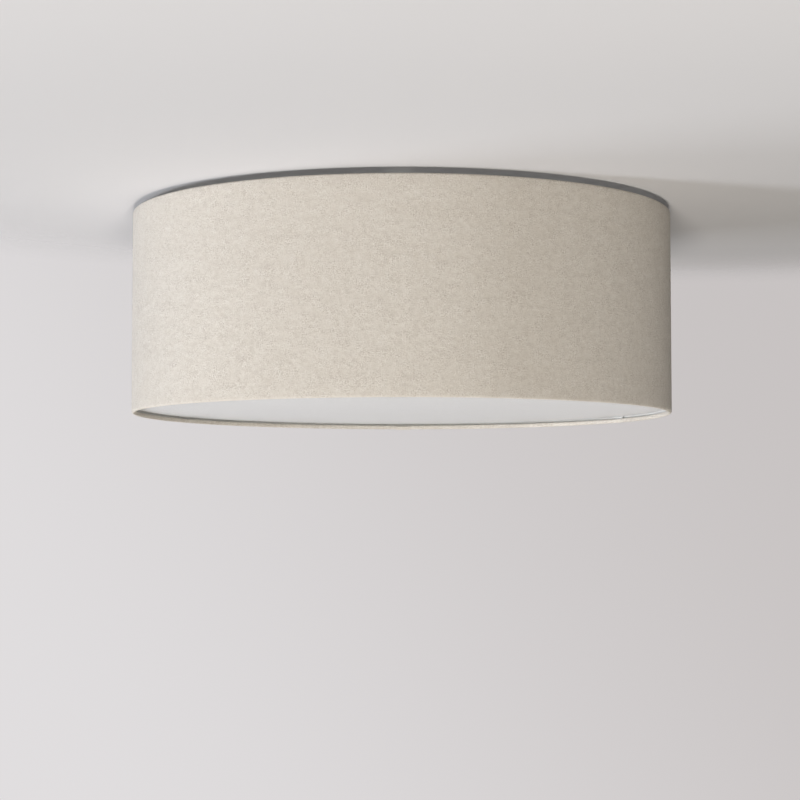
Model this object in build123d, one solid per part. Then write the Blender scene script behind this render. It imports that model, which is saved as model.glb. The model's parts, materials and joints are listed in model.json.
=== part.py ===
from build123d import *

import os
from math import cos, degrees, radians, sin, tan

# Flush mount ceiling light with a laminated fabric drum shade.
#
# The light hangs from a slotted crossbar on the ceiling. A shallow round pan nuts onto the crossbar and
# carries three angled brackets with screw lampholders, each with a tubular LED lamp that lies level and
# points outwards. The shade is fabric on a stiff liner, rolled over a wire ring at each edge. Three arms
# on the top ring reach in under the pan, where knurled nuts hold them on studs. Tabs on the bottom ring
# carry magnets, and steel plates on the flat opal diffuser cling to them, so the diffuser pulls off by
# hand when a lamp has to be changed.
#
# Millimetres. The origin is on the ceiling at the middle of the crossbar, and +Z is up, so the light is
# below Z = 0. The photographed side faces -Y.

# ---------------------------------------------------------------- driving dimensions
# Shade
shade_diameter = 500.0
shade_height = 186.0
ceiling_gap = 6.0          # ceiling to the shade's top edge
fabric_thickness = 0.5
liner_thickness = 0.4
glue_line = 0.05           # between the fabric and what it is laminated to or rolled over
ring_wire = 2.8            # both shade rings, across the wire
hem_tuck = 3.3             # how far the rolled fabric reaches back along the inside
seam_lap_width = 12.0      # the fabric's vertical overlap at the back

# Arms that carry the shade
shade_arm_count = 3
shade_arm_first_angle = -90.0
shade_arm_width = 15.0
shade_arm_sheet = 1.5
shade_arm_slope_run = 10.0 # how far an arm's sloping part reaches, in plan
shade_arm_pan_clearance = 6.0
shade_arm_seat_gap = 0.1
shade_arm_hole = 5.0

# Pan
pan_diameter = 280.0
pan_depth = 24.0
pan_sheet = 1.0
pan_bevel = 6.0
pan_wire_hole = 17.0

# Crossbar on the ceiling
bar_length = 160.0
bar_width = 30.0
bar_sheet = 2.0
bar_cable_hole = 16.0
ceiling_slot_spacing = 100.0
ceiling_slot_length = 18.0
ceiling_slot_width = 5.5
bar_stud_spacing = 136.0
bar_stud_recess = 0.3      # keeps the stud's end off the ceiling

# Threaded parts
stud_diameter = 4.0
thread_clearance = 0.1
screw_hole = 4.4
screw_head_diameter = 7.4
screw_head_height = 2.4
screw_tail = 2.5           # how far a screw's end stands out of the pan's sheet
nut_across_flats = 7.0
nut_thickness = 3.2
dome_nut_hex = 4.6
dome_nut_height = 8.0
dome_nut_thread = 6.2

# Knurled nuts under the arms
shade_stud_from_rim = 15.0 # a stud's axis in from the pan's rim
shade_stud_length = 16.0
thumb_nut_diameter = 14.0
thumb_nut_head = 7.0
thumb_nut_boss_diameter = 9.0
thumb_nut_boss = 2.5
thumb_nut_knurls = 14
thumb_nut_knurl_depth = 0.7
thumb_nut_gap = 0.1

# Diffuser and its magnets
diffuser_edge_clearance = 1.6
diffuser_thickness = 3.0
diffuser_recess = 5.3      # shade's bottom edge up to the diffuser's lower face
strike_plate_diameter = 20.0
strike_plate_thickness = 1.0
magnet_diameter = 12.0
magnet_thickness = 3.0
magnet_gap = 0.2
magnet_from_edge = 12.5    # a magnet's axis in from the diffuser's edge
magnet_tab_width = 14.0
magnet_tab_sheet = 1.2
magnet_tab_end_margin = 2.0

# Lampholders
lamp_count = 3
lamp_first_angle = 90.0
holder_seat_circle = 80.0  # the brackets' upright legs stand on this circle
holder_axis_depth = 62.0   # ceiling down to the lamps' axes
holder_bracket_width = 26.0
holder_bracket_sheet = 1.5
holder_bracket_foot = 24.0
holder_bracket_below_axis = 13.0
holder_screw_from_leg = 13.0
holder_screw_spacing = 14.0
nipple_diameter = 10.0
nipple_behind = 7.0
nipple_inside = 8.0
nipple_nut_across_flats = 14.0
nipple_nut_thickness = 3.0
holder_diameter = 39.0
holder_length = 52.0
holder_wall = 2.4
holder_floor = 3.0
holder_dome_length = 18.0
holder_dome_shoulder = 9.0 # length of the dome's tapered part
holder_dome_back_diameter = 28.0
holder_dome_step = 1.0     # the dome is this much smaller than the cup, all round
cap_clearance = 0.2        # lamp's cap to the brass shell, all round
shell_wall = 0.5
shell_length = 23.0
contact_width = 6.0
contact_length = 14.0
contact_sheet = 0.6
contact_rise = 3.4

# Tubular LED lamps
lamp_contact_gap = 0.3
lamp_cap_diameter = 26.2
lamp_cap_length = 21.0
lamp_tip_length = 5.0
lamp_tip_diameter = 9.6
lamp_collar_diameter = 28.0
lamp_flare_length = 8.0
lamp_diameter = 38.0
lamp_housing_length = 24.0
lamp_tube_length = 66.0
lamp_tube_step = 0.5       # the tube is this much smaller than the housing, all round
lamp_end_bevel = 6.0

# Wiring
sleeve_diameter = 4.5
sleeve_clearance = 0.45    # in the nipple's bore
sleeve_in_nipple = 2.0
sleeve_circle = 6.6        # the three sleeves stand on this circle where they rise through the pan
sleeve_rise = 2.0          # sleeve's end above the pan's floor
cord_sides = 6             # cords are faceted
lead_diameter = 1.6
lead_spacing = 2.0         # between the two leads of a sleeve
lead_hole_clearance = 0.3
grommet_flange_diameter = 21.0
grommet_flange = 1.2
grommet_wall = 2.25
grommet_overhang = 0.8     # how far the grommet's neck stands above the pan's floor

# Terminal block and earth post
block_length = 44.0
block_width = 18.0
block_height = 13.0
block_distance = 22.0      # the light's axis to the block's near face
block_pitch = 10.0
block_live_height = 9.5    # the row of live holes above the pan's floor
block_neutral_height = 3.6
block_earth_x = 17.0
block_hole_depth = 6.0
block_supply_hole = 3.8
block_supply_pitch = 13.0
block_screw_x = 6.5
block_screw_length = 17.0
earth_post_x = 42.0
earth_post_y = 24.0
earth_post_length = 10.0
earth_tag_sheet = 0.8
earth_tag_diameter = 9.0
earth_tag_barrel = 3.2
earth_tag_barrel_length = 7.0

# ---------------------------------------------------------------- places worked out from the sizes
OCTAGON = tan(radians(22.5))                     # half a side over half the width of a regular octagon

shade_radius = shade_diameter / 2
shade_top = -ceiling_gap
shade_bottom = shade_top - shade_height
wire_half = ring_wire / 2
roll_inner = wire_half + glue_line               # half the hollow of the fabric roll
roll_outer = roll_inner + fabric_thickness       # half the roll itself
wire_radius = shade_radius - roll_outer
top_wire_z = shade_top - roll_outer
bottom_wire_z = shade_bottom + roll_outer

pan_radius = pan_diameter / 2
pan_face = -pan_depth                            # the pan's lower face
pan_floor = pan_face + pan_sheet                 # the same sheet seen from above

diffuser_radius = wire_radius - roll_outer - diffuser_edge_clearance
magnet_radius = diffuser_radius - magnet_from_edge
diffuser_low = shade_bottom + diffuser_recess
diffuser_top = diffuser_low + diffuser_thickness
strike_plate_top = diffuser_top + strike_plate_thickness
magnet_low = strike_plate_top + magnet_gap
magnet_top = magnet_low + magnet_thickness

shade_arm_angles = [shade_arm_first_angle + i * 360 / shade_arm_count for i in range(shade_arm_count)]
shade_stud_radius = pan_radius - shade_stud_from_rim
arm_top = top_wire_z - wire_half                 # an arm's upper face out at the ring
arm_seat_top = pan_face - shade_arm_seat_gap     # and under the pan
arm_seat_low = arm_seat_top - shade_arm_sheet
thumb_nut_top = arm_seat_low - thumb_nut_gap

lamp_angles = [lamp_first_angle + i * 360 / lamp_count for i in range(lamp_count)]
holder_seat_radius = holder_seat_circle / 2
bracket_height = holder_axis_depth - pan_depth   # the pan's face above a lamp's axis
nipple_bore = sleeve_diameter + 2 * sleeve_clearance
thread_hole = stud_diameter + 2 * thread_clearance
nipple_hole = nipple_diameter + 2 * thread_clearance
shell_bore = lamp_cap_diameter + 2 * cap_clearance
holder_floor_z = holder_dome_length + holder_floor
lamp_tip_z = holder_floor_z + contact_rise + contact_sheet + lamp_contact_gap
lamp_shell_z = lamp_tip_z + lamp_tip_length
lamp_housing_z = lamp_shell_z + lamp_cap_length
lamp_tube_z = lamp_housing_z + lamp_housing_length
lamp_end_z = lamp_tube_z + lamp_tube_length

lead_hole = lead_diameter + 2 * lead_hole_clearance
block_middle = block_distance + block_width / 2
block_far = block_distance + block_width
earth_tag_end = earth_post_y - nut_across_flats / 2 - thread_clearance  # the closed end of the tag's barrel
live_z = pan_floor + block_live_height
neutral_z = pan_floor + block_neutral_height


# ---------------------------------------------------------------- helpers
def outline(points):
    """A face in the XZ plane from (x, z) points, in order."""
    return make_face(Plane.XZ * Polyline(*points, close=True))


def turned(points, arc=360.0):
    """A solid of revolution about Z from (radius, height) points."""
    return revolve(outline(points), Axis.Z, arc)


def rod(diameter, low, high):
    """An upright cylinder on the Z axis between two heights."""
    return Pos(0, 0, low) * extrude(Circle(diameter / 2), high - low)


def tube(outer, bore, low, high):
    """An upright tube on the Z axis between two heights."""
    return Pos(0, 0, low) * extrude(Circle(outer / 2) - Circle(bore / 2), high - low)


def hex_nut(across_flats, bore, low, high):
    """An upright nut on the Z axis between two heights."""
    corner_radius = across_flats / 2 / cos(radians(30))
    flat = RegularPolygon(corner_radius, 6) - Circle(bore / 2)
    return Pos(0, 0, low) * extrude(flat, high - low)


def strip(points, width):
    """A bent strip of sheet from its (x, z) side outline, centred on the XZ plane."""
    return extrude(outline(points), width / 2, both=True)


def at_angle(angle, radius=0.0, height=0.0):
    """Out along a radius of the light, turned to face that way."""
    return Rot(0, 0, angle) * Pos(radius, 0, height)


def around(angles, piece):
    """One copy of a piece at each angle about the light's axis."""
    return [Rot(0, 0, angle) * piece for angle in angles]


def mirrored_in_x(piece, x):
    """A piece at +x and at -x."""
    return [Pos(side * x, 0, 0) * piece for side in (-1, 1)]


def lamp_frame(angle):
    """The frame of one lampholder: its Z runs out along the lamp's axis, its -X points up at the pan."""
    return at_angle(angle, holder_seat_radius, -holder_axis_depth) * Rot(0, 90, 0)


def cord(points, diameter):
    """A faceted cord along straight runs joined by tangent arcs, each as large as its runs allow."""
    corners = [Vector(*point) for point in points]
    radii = []
    for before, corner, after in zip(corners, corners[1:], corners[2:]):
        turn = radians((corner - before).get_angle(after - corner))
        shorter = min((corner - before).length, (after - corner).length)
        radii.append(0.45 * shorter / tan(turn / 2))
    print("cord", diameter, "radii", [round(radius, 1) for radius in radii])
    path = FilletPolyline(*corners, radius=radii)
    across = Plane(origin=corners[0], z_dir=corners[1] - corners[0])
    section = across * RegularPolygon(diameter / 2, cord_sides)
    return sweep(section, path=path)


def save(name, *pieces):
    """Writes one sub-part, of one or more separate solids."""
    solids = [solid for piece in pieces for solid in piece.solids()]
    shape = solids[0] if len(solids) == 1 else Compound(children=solids)
    shape.label = name
    export_step(shape, f"parts/{name}.step")


# ---------------------------------------------------------------- shade
def roll_points(half, tuck_end, top):
    """The side of a fabric roll from its outer face round to the end of its tuck, as (radius, height)."""
    side = half * OCTAGON
    around_wire = [(half, side), (side, half), (-side, half), (-half, side), (-half, tuck_end)]
    if top:
        return [(wire_radius + r, top_wire_z + h) for r, h in around_wire]
    return [(wire_radius + r, bottom_wire_z - h) for r, h in around_wire]


def shade_fabric():
    """The fabric drum with both edges rolled over the rings, and the lapped seam at the back."""
    tuck_end = roll_outer - hem_tuck
    outside = roll_points(roll_outer, tuck_end, top=False)[::-1] + roll_points(roll_outer, tuck_end, top=True)
    inside = roll_points(roll_inner, tuck_end, top=True)[::-1] + roll_points(roll_inner, tuck_end, top=False)
    drum = turned(outside + inside)
    low, high = bottom_wire_z, top_wire_z
    lap_in, lap_out = shade_radius - fabric_thickness / 2, shade_radius + fabric_thickness
    lap_arc = degrees(seam_lap_width / shade_radius)
    lap = turned([(lap_in, low), (lap_out, low), (lap_out, high), (lap_in, high)], lap_arc)
    return drum + Rot(0, 0, 90 - lap_arc / 2) * lap


def shade_liner():
    """The stiff white backing inside the fabric, between the two rings."""
    outer = shade_radius - fabric_thickness - glue_line
    return tube(2 * outer, 2 * (outer - liner_thickness), bottom_wire_z + roll_inner, top_wire_z - roll_inner)


def ring(height):
    """One wire ring, octagonal in section so that arms and tabs lie flat on it."""
    side = wire_half * OCTAGON
    corners = [(wire_half, side), (side, wire_half), (-side, wire_half), (-wire_half, side)]
    corners += [(-r, -h) for r, h in corners]
    return turned([(wire_radius + r, height + h) for r, h in corners])


def shade_arm():
    """One arm along +X: level from the ring, sloping down past the pan, then level under it."""
    bend_in = pan_radius + shade_arm_pan_clearance
    bend_out = bend_in + shade_arm_slope_run
    weld_end = wire_radius + wire_half * OCTAGON
    upper = [(weld_end, arm_top), (bend_out, arm_top), (bend_in, arm_seat_top),
             (shade_stud_radius, arm_seat_top)]
    lower = [(x, z - shade_arm_sheet) for x, z in reversed(upper)]
    arm = strip(upper + lower, shade_arm_width)
    arm += Pos(shade_stud_radius, 0, 0) * rod(shade_arm_width, arm_seat_low, arm_seat_top)
    return arm - Pos(shade_stud_radius, 0, 0) * rod(shade_arm_hole, arm_seat_low - 1, arm_seat_top + 1)


def shade_arms():
    """The arms that are welded on under the upper ring."""
    return around(shade_arm_angles, shade_arm())


def magnet_tab():
    """One tab along +X: up from the lower ring and in over its magnet."""
    outer = wire_radius + magnet_tab_sheet / 2
    inner = outer - magnet_tab_sheet
    tip = magnet_radius - magnet_diameter / 2 - magnet_tab_end_margin
    top = magnet_top + magnet_tab_sheet
    side = [(outer, bottom_wire_z), (outer, top), (tip, top), (tip, magnet_top), (inner, magnet_top),
            (inner, bottom_wire_z)]
    return strip(side, magnet_tab_width)


def bottom_ring():
    """The lower ring with its magnet tabs welded on."""
    return ring(bottom_wire_z) + around(shade_arm_angles, magnet_tab())


def holding_magnets():
    """The magnets under the tabs."""
    magnet = Pos(magnet_radius, 0, 0) * rod(magnet_diameter, magnet_low, magnet_top)
    return around(shade_arm_angles, magnet)


def thumb_nut():
    """A knurled nut with a plain boss on top."""
    tip = thumb_nut_diameter / 2
    root = tip - thumb_nut_knurl_depth
    step = 360 / (4 * thumb_nut_knurls)
    corners = []
    for i in range(4 * thumb_nut_knurls):
        radius = tip if i % 4 < 2 else root
        corners.append((radius * cos(radians(i * step)), radius * sin(radians(i * step))))
    head_top = thumb_nut_top - thumb_nut_boss
    head = extrude(make_face(Polyline(*corners, close=True)), thumb_nut_head)
    nut = Pos(0, 0, head_top - thumb_nut_head) * head + rod(thumb_nut_boss_diameter, head_top, thumb_nut_top)
    return nut - rod(thread_hole, head_top - thumb_nut_head - 1, thumb_nut_top + 1)


# ---------------------------------------------------------------- diffuser
def diffuser_disc():
    """The flat opal sheet that closes the shade from below."""
    return rod(2 * diffuser_radius, diffuser_low, diffuser_top)


def strike_plates():
    """Steel plates glued on the diffuser, one under each magnet."""
    plate = Pos(magnet_radius, 0, 0) * rod(strike_plate_diameter, diffuser_top, strike_plate_top)
    return around(shade_arm_angles, plate)


# ---------------------------------------------------------------- ceiling parts
def crossbar():
    """The slotted strap that is screwed to the ceiling."""
    flat = RectangleRounded(bar_length, bar_width, bar_width / 5)
    flat -= Circle(bar_cable_hole / 2)
    for side in (-1, 1):
        flat -= Pos(side * ceiling_slot_spacing / 2, 0) * SlotOverall(ceiling_slot_length, ceiling_slot_width)
        flat -= Pos(side * bar_stud_spacing / 2, 0) * Circle(thread_hole / 2)
    return extrude(flat, -bar_sheet)


def bar_stud():
    """A threaded stud from the crossbar down through the pan and into its domed nut."""
    return rod(stud_diameter, pan_face - dome_nut_thread + thread_clearance, -bar_stud_recess)


def bar_lock_nut():
    """The thin nut that locks a stud under the crossbar."""
    return hex_nut(nut_across_flats, thread_hole, -bar_sheet - nut_thickness, -bar_sheet)


def dome_nut():
    """The domed nut that pulls the pan up to the ceiling."""
    low = pan_face - dome_nut_height
    hex_low = pan_face - dome_nut_hex
    thread_end = pan_face - dome_nut_thread
    base = nut_across_flats / 2
    nut = hex_nut(nut_across_flats, thread_hole, hex_low, pan_face)
    nut += turned([(0, low), (base / 2, low), (base, hex_low), (0, hex_low)])
    return nut - rod(thread_hole, thread_end, pan_face)


def ceiling_pan():
    """The pressed round pan, open towards the ceiling."""
    inner_bevel = pan_bevel - pan_sheet * (1 - OCTAGON)
    inner = pan_radius - pan_sheet
    outside = [(0, pan_face), (pan_radius - pan_bevel, pan_face), (pan_radius, pan_face + pan_bevel),
               (pan_radius, 0)]
    inside = [(inner, 0), (inner, pan_floor + inner_bevel), (inner - inner_bevel, pan_floor), (0, pan_floor)]
    pan = turned(outside + inside)
    holes = Circle(pan_wire_hole / 2) + Pos(block_screw_x, block_middle) * Circle(screw_hole / 2)
    for side in (-1, 1):
        holes += Pos(side * bar_stud_spacing / 2, 0) * Circle(screw_hole / 2)
        for angle in lamp_angles:
            place = at_angle(angle, holder_seat_radius + holder_screw_from_leg)
            holes += place * Pos(0, side * holder_screw_spacing / 2) * Circle(screw_hole / 2)
    return pan - Pos(0, 0, pan_face - 1) * extrude(holes, pan_sheet + 2)


def shade_studs():
    """Studs welded to the pan's face for the shade's arms."""
    stud = Pos(shade_stud_radius, 0, 0) * rod(stud_diameter, pan_face - shade_stud_length, pan_face)
    return around(shade_arm_angles, stud)


def wire_grommet():
    """The flanged rubber bush that lines the pan's wire hole."""
    neck = pan_wire_hole / 2 - glue_line
    bore = neck - grommet_wall
    flange = grommet_flange_diameter / 2
    flange_top = pan_face - glue_line
    neck_top = pan_floor + grommet_overhang
    low = flange_top - grommet_flange
    return turned([(bore, low), (flange, low), (flange, flange_top), (neck, flange_top), (neck, neck_top),
                   (bore, neck_top)])


# ---------------------------------------------------------------- lampholders, each about its own Z axis
def holder_bracket():
    """The angled bracket: a foot under the pan and an upright leg behind the lampholder."""
    t = holder_bracket_sheet
    foot = -bracket_height
    side = [(foot, -t), (foot, holder_bracket_foot), (foot + t, holder_bracket_foot), (foot + t, 0),
            (holder_bracket_below_axis, 0), (holder_bracket_below_axis, -t)]
    bracket = strip(side, holder_bracket_width) - rod(nipple_hole, -t - 1, 1)
    for across in (-1, 1):
        place = Pos(foot, across * holder_screw_spacing / 2, holder_screw_from_leg) * Rot(0, 90, 0)
        bracket -= place * rod(screw_hole, -1, t + 1)
    return bracket


def bracket_screws():
    """The screws that hold a bracket's foot to the pan."""
    head_face = bracket_height - holder_bracket_sheet
    screw = rod(stud_diameter, head_face, bracket_height + pan_sheet + screw_tail)
    screw += rod(screw_head_diameter, head_face - screw_head_height, head_face)
    screw = Rot(0, -90, 0) * screw
    return [Pos(0, across * holder_screw_spacing / 2, holder_screw_from_leg) * screw for across in (-1, 1)]


def holder_nipple():
    """The hollow threaded tube that joins lampholder and bracket and lets the wires out."""
    return tube(nipple_diameter, nipple_bore, -nipple_behind, nipple_inside - thread_clearance)


def nipple_nut():
    """The flat nut behind the bracket."""
    low = -holder_bracket_sheet - nipple_nut_thickness
    return hex_nut(nipple_nut_across_flats, nipple_hole, low, -holder_bracket_sheet)


def holder_dome():
    """The rear shell of a lampholder, over its terminals."""
    back = holder_dome_back_diameter / 2
    front = holder_diameter / 2 - holder_dome_step
    dome = turned([(0, 0), (back, 0), (front, holder_dome_shoulder), (front, holder_dome_length),
                   (0, holder_dome_length)])
    return dome - rod(nipple_hole, -1, nipple_inside)


def holder_cup():
    """The front shell: a floor that carries the contacts and a plain skirt round the lamp's cap."""
    inside = holder_diameter / 2 - holder_wall
    outside = holder_diameter / 2
    return turned([(0, holder_dome_length), (outside, holder_dome_length), (outside, holder_length),
                   (inside, holder_length), (inside, holder_floor_z), (0, holder_floor_z)])


def screw_shell():
    """The brass sleeve that the lamp's cap screws into."""
    return tube(shell_bore + 2 * shell_wall, shell_bore, holder_floor_z, holder_floor_z + shell_length)


def centre_contact():
    """The springy brass tongue under the lamp's tip."""
    half = contact_length / 2
    low = holder_floor_z
    high = low + contact_rise
    t = contact_sheet
    side = [(-half, low), (-t, low), (half / 3, high), (half, high), (half, high + t),
            (half / 3 - t, high + t), (-2 * t, low + t), (-half, low + t)]
    return strip(side, contact_width)


# ---------------------------------------------------------------- LED lamps, on the same axis
def lamp_cap():
    """The nickelled screw cap with its raised centre contact."""
    cap, tip = lamp_cap_diameter / 2, lamp_tip_diameter / 2
    return turned([(0, lamp_tip_z), (tip, lamp_tip_z), (tip, lamp_shell_z), (cap, lamp_shell_z),
                   (cap, lamp_housing_z), (0, lamp_housing_z)])


def lamp_housing():
    """The white body that holds the lamp's driver, flared from the cap to the tube."""
    collar, wide = lamp_collar_diameter / 2, lamp_diameter / 2
    return turned([(0, lamp_housing_z), (collar, lamp_housing_z), (wide, lamp_housing_z + lamp_flare_length),
                   (wide, lamp_tube_z), (0, lamp_tube_z)])


def lamp_tube():
    """The opal tube over the LEDs, bevelled at its free end."""
    radius = lamp_diameter / 2 - lamp_tube_step
    return turned([(0, lamp_tube_z), (radius, lamp_tube_z), (radius, lamp_end_z - lamp_end_bevel),
                   (radius - lamp_end_bevel, lamp_end_z), (0, lamp_end_z)])


# ---------------------------------------------------------------- wiring and terminals
def sleeve_top(angle):
    """Where a lampholder's sleeve ends, just above the pan's floor."""
    a = radians(angle)
    return Vector(sleeve_circle / 2 * cos(a), sleeve_circle / 2 * sin(a), pan_floor + sleeve_rise)


def lead_sleeve(angle):
    """The sleeve round one lampholder's leads, from its nipple in to the middle and up through the pan."""
    a = radians(angle)
    start = holder_seat_radius - nipple_behind + sleeve_in_nipple
    top = sleeve_top(angle)
    level = -holder_axis_depth
    return cord([(start * cos(a), start * sin(a), level), (top.X, top.Y, level), tuple(top)], sleeve_diameter)


def lead(angle, side, hole_x, hole_z):
    """One lead from its sleeve's end, up and over to a hole in the terminal block."""
    a = radians(angle)
    start = sleeve_top(angle) + Vector(-sin(a), cos(a), 0) * side * lead_spacing / 2
    rise = Vector(start.X, start.Y, hole_z + 1)
    near = Vector(hole_x, block_distance - 8, hole_z)
    crest = rise + (near - rise) * 0.35 + Vector(0, 0, 2)
    end = Vector(hole_x, block_distance + block_hole_depth - 1, hole_z)
    return cord([start, rise, crest, near, end], lead_diameter)


def lead_pairs():
    """The live leads and the neutral ones, ordered so that none cross."""
    left_to_right = sorted(lamp_angles, key=lambda angle: cos(radians(angle)))
    live, neutral = [], []
    for i, angle in enumerate(left_to_right):
        hole_x = (i - (lamp_count - 1) / 2) * block_pitch
        away_from_block = -1 if cos(radians(angle)) > 0 else 1
        live.append(lead(angle, away_from_block, hole_x, live_z))
        neutral.append(lead(angle, -away_from_block, hole_x, neutral_z))
    return live, neutral


def earth_lead():
    """The short lead from the block's earth hole round to the tag on the pan's earth post."""
    z0, z1 = neutral_z, pan_floor + earth_tag_barrel / 2
    x0, x1 = block_earth_x, earth_post_x
    y = earth_tag_end - earth_tag_barrel_length - 3
    return cord([(x0, block_distance + block_hole_depth - 1, z0), (x0, y, z0), (x0 + 4, y - 7, z0),
                 ((x0 + x1) / 2, y - 10, z0), (x1 - 4, y - 7, z1), (x1, y, z1), (x1, earth_tag_end - 2, z1)],
                lead_diameter)


def earth_post():
    """The stud welded inside the pan for the earth tag."""
    return Pos(earth_post_x, earth_post_y, 0) * rod(stud_diameter, pan_floor, pan_floor + earth_post_length)


def earth_nut():
    """The nut that clamps the earth tag."""
    low = pan_floor + earth_tag_sheet
    nut = hex_nut(nut_across_flats, thread_hole, low, low + nut_thickness)
    return Pos(earth_post_x, earth_post_y, 0) * nut


def earth_tag():
    """The crimped ring tag on the earth lead."""
    ring_top = pan_floor + earth_tag_sheet
    barrel = Pos(earth_post_x, earth_tag_end, pan_floor + earth_tag_barrel / 2) * Rot(90, 0, 0)
    tag = Pos(earth_post_x, earth_post_y, 0) * rod(earth_tag_diameter, pan_floor, ring_top)
    tag += barrel * rod(earth_tag_barrel, 0, earth_tag_barrel_length)
    tag -= Pos(earth_post_x, earth_post_y, 0) * rod(thread_hole, pan_floor - 1, ring_top + 1)
    return tag - barrel * rod(lead_hole, 1, earth_tag_barrel_length + 1)


def block_hole(x, y, height, width):
    """The room of one square hole in the terminal block, as deep on either side of its mouth."""
    return Pos(x, y, pan_floor + height) * Box(width, 2 * block_hole_depth, width)


def terminal_block():
    """The push-in terminal block, with the lamps' leads on its near side and the supply on the far side."""
    block = Pos(0, block_middle, pan_floor + block_height / 2) * Box(block_length, block_width, block_height)
    for i in range(lamp_count):
        x = (i - (lamp_count - 1) / 2) * block_pitch
        for height in (block_live_height, block_neutral_height):
            block -= block_hole(x, block_distance, height, lead_hole)
    block -= block_hole(block_earth_x, block_distance, block_neutral_height, lead_hole)
    for i in (-1, 0, 1):
        block -= block_hole(i * block_supply_pitch, block_far, block_height / 2, block_supply_hole)
    screw_way = rod(screw_hole, pan_floor - 1, pan_floor + block_height + 1)
    return block - Pos(block_screw_x, block_middle, 0) * screw_way


def block_screw():
    """The screw through the terminal block into the pan."""
    top = pan_floor + block_height
    screw = rod(stud_diameter, top - block_screw_length, top)
    screw += rod(screw_head_diameter, top, top + screw_head_height)
    return Pos(block_screw_x, block_middle, 0) * screw


def save_base():
    """Writes what stays on the ceiling."""
    frames = [lamp_frame(angle) for angle in lamp_angles]
    live, neutral = lead_pairs()
    save("crossbar", crossbar())
    save("crossbar_studs", *mirrored_in_x(bar_stud(), bar_stud_spacing / 2))
    save("stud_lock_nuts", *mirrored_in_x(bar_lock_nut(), bar_stud_spacing / 2))
    save("pan_dome_nuts", *mirrored_in_x(dome_nut(), bar_stud_spacing / 2))
    save("ceiling_pan", ceiling_pan())
    save("shade_studs", *shade_studs())
    save("wire_grommet", wire_grommet())
    save("terminal_block", terminal_block())
    save("block_screw", block_screw())
    save("earth_post", earth_post())
    save("earth_nut", earth_nut())
    save("earth_tag", earth_tag())
    save("earth_lead", earth_lead())
    save("live_leads", *live)
    save("neutral_leads", *neutral)
    save("lead_sleeves", *[lead_sleeve(angle) for angle in lamp_angles])
    save("holder_brackets", *[frame * holder_bracket() for frame in frames])
    save("bracket_screws", *[frame * screw for frame in frames for screw in bracket_screws()])
    save("holder_nipples", *[frame * holder_nipple() for frame in frames])
    save("nipple_nuts", *[frame * nipple_nut() for frame in frames])
    save("holder_domes", *[frame * holder_dome() for frame in frames])
    save("centre_contacts", *[frame * centre_contact() for frame in frames])
    for number, frame in enumerate(frames, 1):
        save(f"holder_cup_{number}", frame * holder_cup())
        save(f"screw_shell_{number}", frame * screw_shell())


def save_lamps():
    """Writes the three lamps."""
    for number, angle in enumerate(lamp_angles, 1):
        frame = lamp_frame(angle)
        save(f"lamp_cap_{number}", frame * lamp_cap())
        save(f"lamp_housing_{number}", frame * lamp_housing())
        save(f"lamp_tube_{number}", frame * lamp_tube())


def save_shade():
    """Writes the shade, its knurled nuts and the diffuser."""
    save("shade_fabric", shade_fabric())
    save("shade_liner", shade_liner())
    save("top_ring", ring(top_wire_z))
    save("shade_arms", *shade_arms())
    save("bottom_ring", bottom_ring())
    save("holding_magnets", *holding_magnets())
    for number, angle in enumerate(shade_arm_angles, 1):
        save(f"thumb_nut_{number}", at_angle(angle, shade_stud_radius) * thumb_nut())
    save("diffuser_disc", diffuser_disc())
    save("strike_plates", *strike_plates())


os.makedirs("parts", exist_ok=True)
save_base()
save_lamps()
save_shade()
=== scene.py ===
"""Dresses a packed drum ceiling light: cloth shade, diffuser, fittings, lamps, wiring and finishes.

Each step is an operator, and a panel in the 3D view's sidebar lists them with the sizes and colours.
"""

import json
from math import ceil, cos, hypot, pi, radians, sin, tau

import bmesh
import bpy
from mathutils import Matrix, Vector


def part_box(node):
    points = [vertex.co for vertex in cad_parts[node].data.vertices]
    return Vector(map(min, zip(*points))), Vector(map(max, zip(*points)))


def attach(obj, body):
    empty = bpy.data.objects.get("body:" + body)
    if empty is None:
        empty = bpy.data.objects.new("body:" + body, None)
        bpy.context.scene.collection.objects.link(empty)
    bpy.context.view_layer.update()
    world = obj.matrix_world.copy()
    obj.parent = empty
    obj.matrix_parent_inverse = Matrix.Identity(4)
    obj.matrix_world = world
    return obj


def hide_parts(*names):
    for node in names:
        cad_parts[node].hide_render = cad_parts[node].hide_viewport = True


bl_info = {
    "name": "Drum Ceiling Light",
    "version": (1, 0, 0),
    "blender": (4, 5, 0),
    "location": "3D View > Sidebar > Ceiling Light",
    "description": "Dresses the packed ceiling light with its cloth shade, lamps, fittings and finishes",
    "category": "Object",
}

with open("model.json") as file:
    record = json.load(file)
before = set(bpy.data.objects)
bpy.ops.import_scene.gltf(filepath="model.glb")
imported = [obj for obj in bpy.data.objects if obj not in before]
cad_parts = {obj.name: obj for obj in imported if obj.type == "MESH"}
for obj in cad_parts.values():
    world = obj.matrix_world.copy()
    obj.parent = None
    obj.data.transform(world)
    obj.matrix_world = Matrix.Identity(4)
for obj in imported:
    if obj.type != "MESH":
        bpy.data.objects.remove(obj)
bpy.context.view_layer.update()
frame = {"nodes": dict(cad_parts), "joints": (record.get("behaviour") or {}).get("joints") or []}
MM = 0.001

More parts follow.
